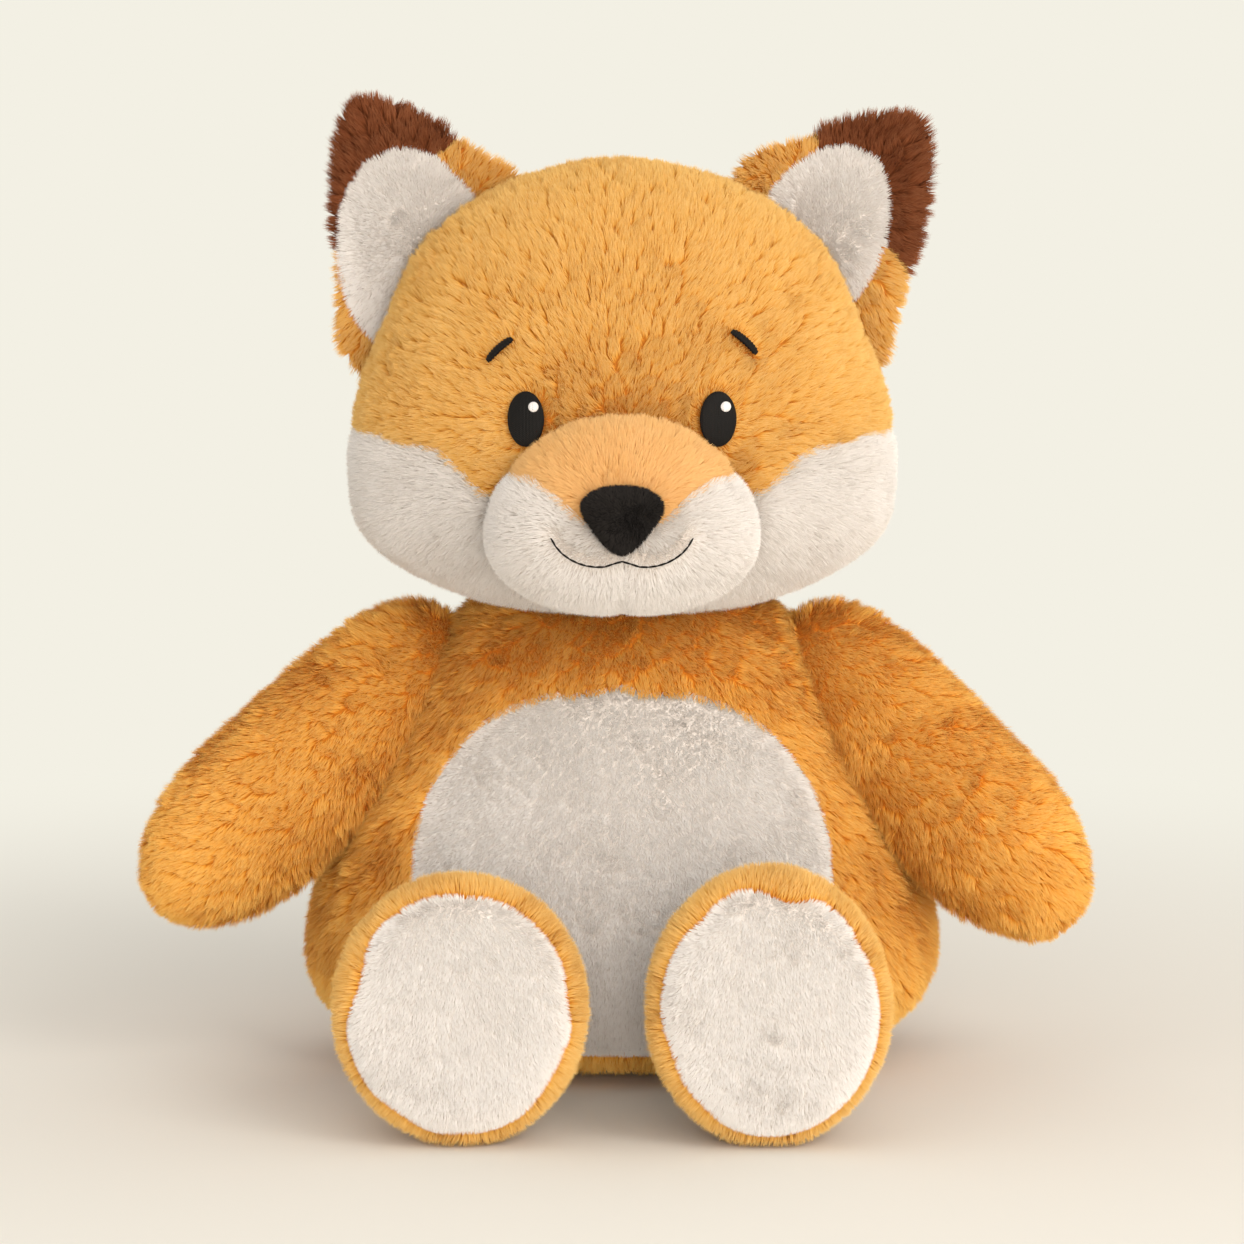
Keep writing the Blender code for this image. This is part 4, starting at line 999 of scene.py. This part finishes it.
def strand_tree():
    """Geometry nodes that stand a strand on each root and add the cloth's backing."""
    tree = bpy.data.node_groups.new("lay_pile", "GeometryNodeTree")
    tree.interface.new_socket("Geometry", in_out="INPUT", socket_type="NodeSocketGeometry")
    tree.interface.new_socket("Strand", in_out="INPUT", socket_type="NodeSocketObject")
    tree.interface.new_socket("Backing", in_out="INPUT", socket_type="NodeSocketObject")
    tree.interface.new_socket("Geometry", in_out="OUTPUT", socket_type="NodeSocketGeometry")
    start = add_node(tree, "NodeGroupInput")

    def attribute(name, data_type):
        node = add_node(
            tree, "GeometryNodeInputNamedAttribute", {"data_type": data_type}, {"Name": name}
        )
        return node.outputs["Attribute"]

    strand = add_node(
        tree, "GeometryNodeObjectInfo", {}, {"Object": start.outputs["Strand"]}
    )
    turn = add_node(
        tree, "FunctionNodeAxesToRotation", {"primary_axis": "Z", "secondary_axis": "Y"},
        {"Primary Axis": attribute("heading", "FLOAT_VECTOR"),
         "Secondary Axis": attribute("facing", "FLOAT_VECTOR")},
    )
    stood = add_node(
        tree, "GeometryNodeInstanceOnPoints", {},
        {"Points": start.outputs["Geometry"], "Instance": strand.outputs["Geometry"],
         "Rotation": turn.outputs["Rotation"], "Scale": attribute("size", "FLOAT_VECTOR")},
    )
    whole = add_node(
        tree, "GeometryNodeRealizeInstances", {}, {"Geometry": stood.outputs["Instances"]}
    )
    shading = add_node(
        tree, "GeometryNodeSetMeshNormal", {"mode": "FREE", "domain": "POINT"},
        {"Mesh": whole.outputs["Geometry"],
         "Custom Normal": attribute("soft_normal", "FLOAT_VECTOR")},
    )
    backing = add_node(
        tree, "GeometryNodeObjectInfo", {}, {"Object": start.outputs["Backing"]}
    )
    joined = add_node(tree, "GeometryNodeJoinGeometry")
    tree.links.new(shading.outputs["Mesh"], joined.inputs["Geometry"])
    tree.links.new(backing.outputs["Geometry"], joined.inputs["Geometry"])
    mapped = add_node(
        tree, "ShaderNodeCombineXYZ", {},
        {"X": attribute("shade", "FLOAT"), "Y": attribute("along", "FLOAT")},
    )
    stored = add_node(
        tree, "GeometryNodeStoreNamedAttribute",
        {"data_type": "FLOAT2", "domain": "CORNER"},
        {"Geometry": joined.outputs["Geometry"], "Name": "OFBake",
         "Value": mapped.outputs["Vector"]},
    )
    add_node(tree, "NodeGroupOutput", {}, {"Geometry": stored.outputs["Geometry"]})
    return tree


def grow(item, tree, settings):
    """Run geometry nodes on an object and return the mesh that comes out."""
    step = item.modifiers.new(tree.name, "NODES")
    step.node_group = tree
    for socket in tree.interface.items_tree:
        if socket.in_out == "INPUT" and socket.name in settings:
            step[socket.identifier] = settings[socket.name]
    graph = bpy.context.evaluated_depsgraph_get()
    shown = item.evaluated_get(graph)
    mesh = bpy.data.meshes.new_from_object(
        shown, preserve_all_data_layers=True, depsgraph=graph
    )
    item.modifiers.remove(step)
    return mesh


def read(mesh, name, width):
    values = np.zeros(len(mesh.vertices) * width, np.float32)
    if name == "co":
        mesh.vertices.foreach_get("co", values)
    else:
        mesh.attributes[name].data.foreach_get("vector" if width == 3 else "value", values)
    return values.reshape(-1, width) if width > 1 else values


def write(mesh, name, values):
    kind, key = ("FLOAT_VECTOR", "vector") if values.ndim > 1 else ("FLOAT", "value")
    layer = mesh.attributes.new(name, kind, "POINT")
    layer.data.foreach_set(key, values.astype(np.float32).ravel())


def unit(vectors):
    return vectors / np.maximum(np.linalg.norm(vectors, axis=1, keepdims=True), 1e-9)


def flat_on(vectors, normals):
    """The part of each vector that lies in the cloth."""
    return vectors - normals * np.sum(vectors * normals, axis=1, keepdims=True)


def noise_at(points, size):
    return np.array([noise.noise_vector(Vector(p) / size) for p in points])


def brush(mesh, pile, trims, rng, strand_share):
    """Lay the strands of a planted cover in tufts, and write how each stands."""
    roots, normals = read(mesh, "co", 3), unit(read(mesh, "root_normal", 3))
    shortening, seam = read(mesh, "shortening", 1), read(mesh, "near_seam", 1)
    count = len(roots)
    per_tuft = pile.density * strand_share * pile.tuft ** 2
    tufts = rng.choice(count, max(int(count / per_tuft), 1), False)
    tree = KDTree(len(tufts))
    for index, root in enumerate(tufts):
        tree.insert(roots[root], index)
    tree.balance()
    tuft = np.array([tree.find(root)[1] for root in roots])
    middles = roots[tufts]

    comb = flat_on(unit(middles - pile.comb_from), normals[tufts])
    comb += pile.swirl * noise_at(middles, BROAD_SWIRL)
    comb += 0.7 * pile.swirl * noise_at(middles, FINE_SWIRL)
    comb += rng.normal(0, 0.12, comb.shape)
    tuft_lean = pile.lean * rng.uniform(0.85, 1.15, len(tufts))
    tuft_length = 1 + pile.pull * rng.uniform(-0.2, 0.1, len(tufts))
    tuft_shade = 0.5 + 0.25 * noise_at(middles, SHADE_PATCH)[:, 0]
    tuft_shade += rng.normal(0, 0.06, len(tufts))

    to_middle = flat_on(middles[tuft] - roots, normals)
    off_centre = ease(np.linalg.norm(to_middle, axis=1) / pile.tuft * 1.4)
    away = np.zeros_like(roots)
    for bvh, reach, _ in trims:
        for index, root in enumerate(roots):
            place, _, _, distance = bvh.find_nearest(root, reach)
            if distance is not None:
                apart = (root - np.array(place)) / max(distance, 1e-5)
                away[index] += apart * (1 - distance / reach)
    outward = unit(flat_on(roots - roots.mean(axis=0), normals))
    spilt = pile.spill * seam[:, None] * outward
    lean = flat_on(comb[tuft] + 2.0 * away + spilt, normals)
    reach = np.linalg.norm(lean, axis=1)
    lean *= (tuft_lean[tuft] / np.maximum(reach, 1.0))[:, None]
    stray = rng.random(count) < STRAY_SHARE
    lift = np.where(stray, 1.3, 1.0)[:, None] * pile.lift
    heading = normals * lift + lean + to_middle / pile.length * pile.pull
    heading = unit(heading + rng.normal(0, 0.12, heading.shape))
    length = pile.length * shortening * tuft_length[tuft] * rng.uniform(0.86, 1.06, count)
    length *= np.where(stray, 1.12, 1.0) * (1 - 0.3 * pile.pull * off_centre)
    length *= 1 - 0.05 * seam
    lowest = np.clip((FLOOR_ROOM - roots[:, 2]) / length, -1.0, 0.9)
    sinking = heading[:, 2] < lowest
    level = unit(heading * (1, 1, 0)) * np.sqrt(1 - lowest ** 2)[:, None]
    heading[sinking] = (level + np.outer(lowest, (0, 0, 1)))[sinking]
    flat = unit(flat_on(normals, heading) + rng.normal(0, 0.15, heading.shape))
    width = pile.width * rng.uniform(0.85, 1.15, count) * (0.6 + 0.4 * shortening)
    width /= math.sqrt(strand_share)
    # Strands at a tuft's edge are darker: painted shade in the gaps between tufts. The rest
    # of the shade is random tone.
    shade = tuft_shade[tuft] + rng.normal(0, 0.09, count) - 0.25 * pile.pull * off_centre
    write(mesh, "heading", heading)
    write(mesh, "facing", -flat)
    write(mesh, "size", np.stack([width, length, length], axis=1))
    write(mesh, "soft_normal", unit(normals + SOFT_SHADING * flat))
    write(mesh, "shade", np.clip(shade, 0.02, 0.98))


def panel_backing(bm, index, name):
    """The cloth of one panel, as an open face for planting and as a closed sheet."""
    cloth = bm.copy()
    spare = [face for face in cloth.faces if face.material_index != index]
    bmesh.ops.delete(cloth, geom=spare, context="FACES")
    for face in cloth.faces:
        face.material_index = 0
    face_side = object_from(cloth.copy(), f"{name}_face")
    bmesh.ops.solidify(cloth, geom=list(cloth.faces), thickness=BACKING)
    along = cloth.verts.layers.float.new("along")
    shade = cloth.verts.layers.float.new("shade")
    # The backing takes the pile's dark root colour: painted shade, seen in the gaps between
    # strands.
    for vert in cloth.verts:
        vert[along], vert[shade] = 0.02, 0.4
    bmesh.ops.recalc_face_normals(cloth, faces=cloth.faces)
    return face_side, object_from(cloth, f"{name}_backing")


def sew(bm, panels, piles, body, trims=()):
    """Make each panel of a cover: backing and pile in one piece."""
    for index, panel in enumerate(panels):
        pile = piles[panel.finish]
        seed = next(seeds)
        face_side, backing = panel_backing(bm, index, panel.name)
        density = pile.density * panel.strand_share
        planted = grow(face_side, ROOTS, {"Density": density, "Seed": seed})
        brush(planted, pile, trims, np.random.default_rng(seed), panel.strand_share)
        holder = bpy.data.objects.new(panel.name, planted)
        bpy.context.scene.collection.objects.link(holder)
        mesh = grow(holder, STRANDS, {"Strand": STRAND, "Backing": backing})
        for layer in ("along", "shade", "heading", "facing", "size", "soft_normal",
                      "root_normal", "shortening", "near_seam", "cover"):
            if layer in mesh.attributes:
                mesh.attributes.remove(mesh.attributes[layer])
        holder.data = mesh
        for spare in (face_side, backing):
            bpy.data.objects.remove(spare)
        finish_piece(holder, panel.finish, body, panel.nodes)
    bm.free()


ROOTS = scatter_tree()
STRANDS = strand_tree()
STRAND = strand_shape()


def piles_from(centre, length_share=1.0):
    """The toy's piles, combed away from a point. Each row is the strand's length, width
    and spacing in mm, its lift, lean and swirl, the tuft's size in mm and pull, and how
    far the strands at a seam spill over it."""
    cuts = {
        "orange_plush": (5.0, 0.40, 0.44, 0.75, 0.85, 0.6, 3.0, 0.45, 0.0),
        "bright_orange_plush": (5.0, 0.40, 0.44, 0.75, 0.85, 0.6, 3.0, 0.45, 0.0),
        "light_orange_plush": (4.2, 0.38, 0.42, 0.75, 0.90, 0.3, 2.4, 0.20, 0.6),
        "white_plush": (3.8, 0.36, 0.40, 1.00, 0.65, 0.4, 2.2, 0.12, 0.6),
        "sheared_white_plush": (2.5, 0.36, 0.40, 1.00, 0.65, 0.5, 2.4, 0.15, 1.2),
        "brown_plush": (6.4, 0.42, 0.43, 0.90, 0.70, 0.8, 3.2, 0.60, 0.0),
        "black_felt": (1.6, 0.34, 0.30, 0.80, 0.80, 0.8, 1.4, 0.30, 0.0),
    }
    return {
        name: Pile(
            length * length_share * MM, width * MM, spacing * MM, lift, lean, swirl,
            tuft * MM, pull, spill, centre,
        )
        for name, (length, width, spacing, lift, lean, swirl, tuft, pull, spill)
        in cuts.items()
    }


def make_body():
    belly = smooth_line([
        (x * BELLY_HALF_WIDTH, SEAT_SEAM_HEIGHT + z * BELLY_HEIGHT)
        for x, z in BELLY_EDGE_SHARES
    ])
    belly_outline = belly + [(-x, z) for x, z in reversed(belly) if x]
    panels = (
        Panel("seat_plush", lambda p, _: p.z < SEAT_SEAM_HEIGHT,
              "bright_orange_plush", ["seat_panel"], 0.4),
        Panel("body_back_plush", lambda p, _: p.y > 0, "bright_orange_plush",
              ["body_back_panel"], 0.6),
        Panel("belly_plush", lambda p, _: inside(belly_outline, p.x, p.z),
              "sheared_white_plush", ["belly_panel"], 1.4),
        Panel("body_front_plush", lambda p, _: True, "bright_orange_plush",
              ["body_front_panel"]),
    )
    piles = piles_from((0, 0, 0.5))
    bm = dense_cover(body_form, (150, 90), piles["orange_plush"], panels, [head_form])
    sew(bm, panels, piles, "torso")


def make_head(trims):
    cheek_line = smooth_line([
        (x * HEAD_HALF_WIDTH, HEAD_LOW + CHEEK_LINE_HEIGHT + z * CHEEK_DIP)
        for x, z in CHEEK_EDGE_SHARES
    ])
    panels = (
        Panel("head_back_plush", lambda p, _: p.y > -HEAD_FORWARD, "orange_plush",
              ["head_back_panel"], 0.6),
        Panel("face_plush", lambda p, _: p.z > height_on(cheek_line, p.x), "orange_plush",
              ["face_panel"]),
        Panel("cheek_plush_left", lambda p, _: p.x > 0, "white_plush", ["cheek_left"]),
        Panel("cheek_plush_right", lambda p, _: True, "white_plush", ["cheek_right"]),
    )
    nose = nose_form.place.translation
    piles = piles_from(nose + Vector((0, 0, 0.008)))
    piles["white_plush"] = piles_from(nose, 1.15)["white_plush"]
    ears = [ear_form(label, side) for label, side in SIDES]
    bm = dense_cover(
        head_form, (140, 84), piles["orange_plush"], panels,
        [muzzle_form, body_form, *ears], trims, sewn_to=muzzle_form,
    )
    sew(bm, panels, piles, "head", trims)


def make_muzzle(trims):
    line = smooth_line([
        (x * MUZZLE_HALF_WIDTH, HEAD_LOW + BRIDGE_LINE_HEIGHT + z * BRIDGE_DIP)
        for x, z in BRIDGE_EDGE_SHARES
    ])
    panels = (
        Panel("muzzle_bridge_plush", lambda p, _: p.z > height_on(line, p.x),
              "light_orange_plush", ["muzzle_bridge"]),
        Panel("muzzle_lobe_plush_left", lambda p, _: p.x > 0, "white_plush",
              ["muzzle_lobe_left"]),
        Panel("muzzle_lobe_plush_right", lambda p, _: True, "white_plush",
              ["muzzle_lobe_right"]),
    )
    piles = piles_from(nose_form.place.translation)
    bm = dense_cover(
        muzzle_form, (96, 56), piles["white_plush"], panels, [head_form, nose_form], trims
    )
    sew(bm, panels, piles, "head", trims)
    nose_panels = (Panel("nose_felt", lambda p, _: True, "black_felt", ["nose"]),)
    nose_bm = dense_cover(
        nose_form, (48, 32), piles["black_felt"], nose_panels, [muzzle_form]
    )
    sew(nose_bm, nose_panels, piles, "head")


def make_arms():
    for label, side in SIDES:
        form = arm_form(label, side)
        panels = (
            Panel(f"arm_plush_{label}", lambda p, _: True, "bright_orange_plush",
                  [f"arm_sleeve_{label}"]),
        )
        piles = piles_from((0, 0, ARM_COMB_HEIGHT))
        bm = dense_cover(
            form, (52, 50), piles["orange_plush"], panels, [body_form, head_form],
            stand=ARM_STAND_SHARE,
        )
        sew(bm, panels, piles, f"arm_{label}")


def make_legs():
    for label, side in SIDES:
        form = leg_form(label, side)
        start = form.place.translation
        sole_z = (FOOT_UPS[label] + FOOT_DOWN) / 2 - FLOOR_CUT
        half_width, half_height = SOLE_HALF_WIDTHS[label], SOLE_HALF_HEIGHTS[label]

        def on_sole(p, local):
            across = abs(p.x - start.x) / half_width
            rise = abs(p.z - sole_z) / half_height
            near_end = local.z > LEG_LENGTH * (1 - SOLE_DEPTH_SHARE)
            edge = 1 + SOLE_WAVER * noise.noise(Vector((p.x, p.z, 0)) / SOLE_WAVE)
            return near_end and across ** SOLE_SQUARENESS + rise ** SOLE_SQUARENESS < edge

        panels = (
            Panel(f"sole_plush_{label}", on_sole, "sheared_white_plush",
                  [f"sole_{label}"], 1.6),
            Panel(f"leg_plush_{label}", lambda p, _: True, "orange_plush",
                  [f"leg_sleeve_{label}"]),
        )
        piles = piles_from((start.x, start.y - LEG_LENGTH, sole_z))
        piles["orange_plush"].tuft = 2.0 * MM
        piles["orange_plush"].pull = 0.12
        sole_front = (start.x, start.y - 0.8 * LEG_LENGTH, sole_z + SOLE_COMB_RISE)
        piles["sheared_white_plush"].comb_from = np.array(sole_front)
        bm = dense_cover(form, (72, 64), piles["orange_plush"], panels, [body_form])
        sew(bm, panels, piles, f"leg_{label}")


def make_tail():
    form = tail_form()
    panels = (
        Panel("tail_tip_plush", lambda _, local: local.z > TAIL_LENGTH * TAIL_TIP_SHARE,
              "white_plush", ["tail_tip"]),
        Panel("tail_plush", lambda p, _: True, "orange_plush", ["tail_sleeve"]),
    )
    piles = piles_from(form.place.translation)
    bm = dense_cover(form, (44, 40), piles["orange_plush"], panels, [body_form])
    sew(bm, panels, piles, "tail")


def make_ears():
    seam = EAR_LENGTH - EAR_TIP_LENGTH
    for label, side in SIDES:
        form = ear_form(label, side)
        half, top = LINING_HALF_WIDTHS[label], LINING_TOPS[label]
        shift = side * LINING_SHIFTS[label]
        edge = smooth_line([(half * x, top * z) for x, z in LINING_EDGE_SHARES])
        outline = [(x + shift, z) for x, z in edge]
        outline += [(shift - x, z) for x, z in reversed(edge) if x]

        def on_lining(_, local):
            return local.y < 0 and inside(outline, local.x, local.z)

        panels = (
            Panel(f"ear_lining_plush_{label}", on_lining, "sheared_white_plush",
                  [f"ear_lining_{label}"], 1.4),
            Panel(f"ear_tip_plush_{label}", lambda _, local: local.z > seam, "brown_plush",
                  [f"ear_tip_{label}"]),
            Panel(f"ear_plush_{label}", lambda p, _: True, "orange_plush",
                  [f"ear_back_{label}"]),
        )
        piles = piles_from(form.place.translation)
        inner = piles_from(form.place.translation, EAR_PILE_SHARE)
        piles["sheared_white_plush"] = inner["sheared_white_plush"]
        bm = dense_cover(form, (64, 40), piles["white_plush"], panels, [head_form])
        sew(bm, panels, piles, f"ear_{label}")


def dress_stuffing():
    """The stuffing and the pellet bag stay as the frame has them, in their own cloth."""
    for name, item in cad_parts.items():
        if "stuffing" in name:
            finish_name = "polyester_fibre"
        elif name == "pellet_bag":
            finish_name = "pellet_bag_cloth"
        else:
            continue
        item.data.materials.clear()
        item.data.materials.append(MATERIALS[finish_name])


def make_stage():
    """A sheet of pale paper. It melts into the backdrop where no shadow falls on it."""
    material, tree, shader = new_material("seamless_paper", 0.9)
    shader.inputs["Base Color"].default_value = linear(PAPER)
    place = add_node(tree, "ShaderNodeTexCoord")
    reach = add_node(
        tree, "ShaderNodeVectorMath", {"operation": "LENGTH"}, {0: place.outputs["Object"]}
    )
    far = add_node(
        tree, "ShaderNodeMapRange", {"interpolation_type": "SMOOTHSTEP"},
        {"Value": reach.outputs["Value"], "From Min": 0.15, "From Max": 0.70},
    )
    path = add_node(tree, "ShaderNodeLightPath")
    seen = add_node(
        tree, "ShaderNodeMath", {"operation": "MULTIPLY"},
        {0: far.outputs["Result"], 1: path.outputs["Is Camera Ray"]},
    )
    glow = add_node(
        tree, "ShaderNodeEmission", {}, {"Color": linear(BACKDROP), "Strength": 1.0}
    )
    mix = add_node(tree, "ShaderNodeMixShader", {}, {"Fac": seen.outputs["Value"]})
    tree.links.new(shader.outputs["BSDF"], mix.inputs[1])
    tree.links.new(glow.outputs["Emission"], mix.inputs[2])
    tree.links.new(mix.outputs["Shader"], tree.nodes["Material Output"].inputs["Surface"])
    bm = bmesh.new()
    bmesh.ops.create_grid(bm, x_segments=1, y_segments=1, size=6.0)
    floor = object_from(bm, "paper_sheet")
    floor.data.materials.append(material)


def add_lamp(name, place, target, size, power, colour):
    lamp = bpy.data.lights.new(name, "AREA")
    lamp.size = size
    lamp.energy = power
    lamp.color = linear(colour)[:3]
    item = bpy.data.objects.new(name, lamp)
    item.location = place
    item.rotation_euler = (Vector(target) - Vector(place)).to_track_quat("-Z", "Y").to_euler()
    bpy.context.scene.collection.objects.link(item)


def light_scene():
    world = bpy.data.worlds.new("studio")
    world.use_nodes = True
    tree = world.node_tree
    shown = add_node(
        tree, "ShaderNodeBackground", {}, {"Color": linear(BACKDROP), "Strength": 1.0}
    )
    lit = add_node(
        tree, "ShaderNodeBackground", {}, {"Color": linear("FFFCF8"), "Strength": 0.68}
    )
    path = add_node(tree, "ShaderNodeLightPath")
    mix = add_node(tree, "ShaderNodeMixShader", {}, {"Fac": path.outputs["Is Camera Ray"]})
    tree.links.new(lit.outputs["Background"], mix.inputs[1])
    tree.links.new(shown.outputs["Background"], mix.inputs[2])
    tree.links.new(mix.outputs["Shader"], tree.nodes["World Output"].inputs["Surface"])
    bpy.context.scene.world = world
    add_lamp("key", (1.0, -1.3, 1.15), (0, 0, 0.15), 0.9, 9.5, "FFFAF2")
    add_lamp("fill", (0.35, -1.7, 0.20), (0, 0, 0.10), 1.2, 25, "FFF2E6")


def place_camera():
    camera = bpy.data.cameras.new("camera")
    camera.sensor_width = 36
    camera.lens = 126.8
    item = bpy.data.objects.new("camera", camera)
    item.location = (0, -1.5, 0.3202)
    item.rotation_euler = (math.radians(90 - 6.46), 0, 0)
    bpy.context.scene.collection.objects.link(item)
    bpy.context.scene.camera = item


place_camera()
trims = make_trims()
make_body()
make_head(trims)
make_muzzle(trims)
make_arms()
make_legs()
make_tail()
make_ears()
dress_stuffing()
bpy.data.objects.remove(STRAND)
make_stage()
light_scene()
bpy.context.scene.view_settings.view_transform = "Standard"
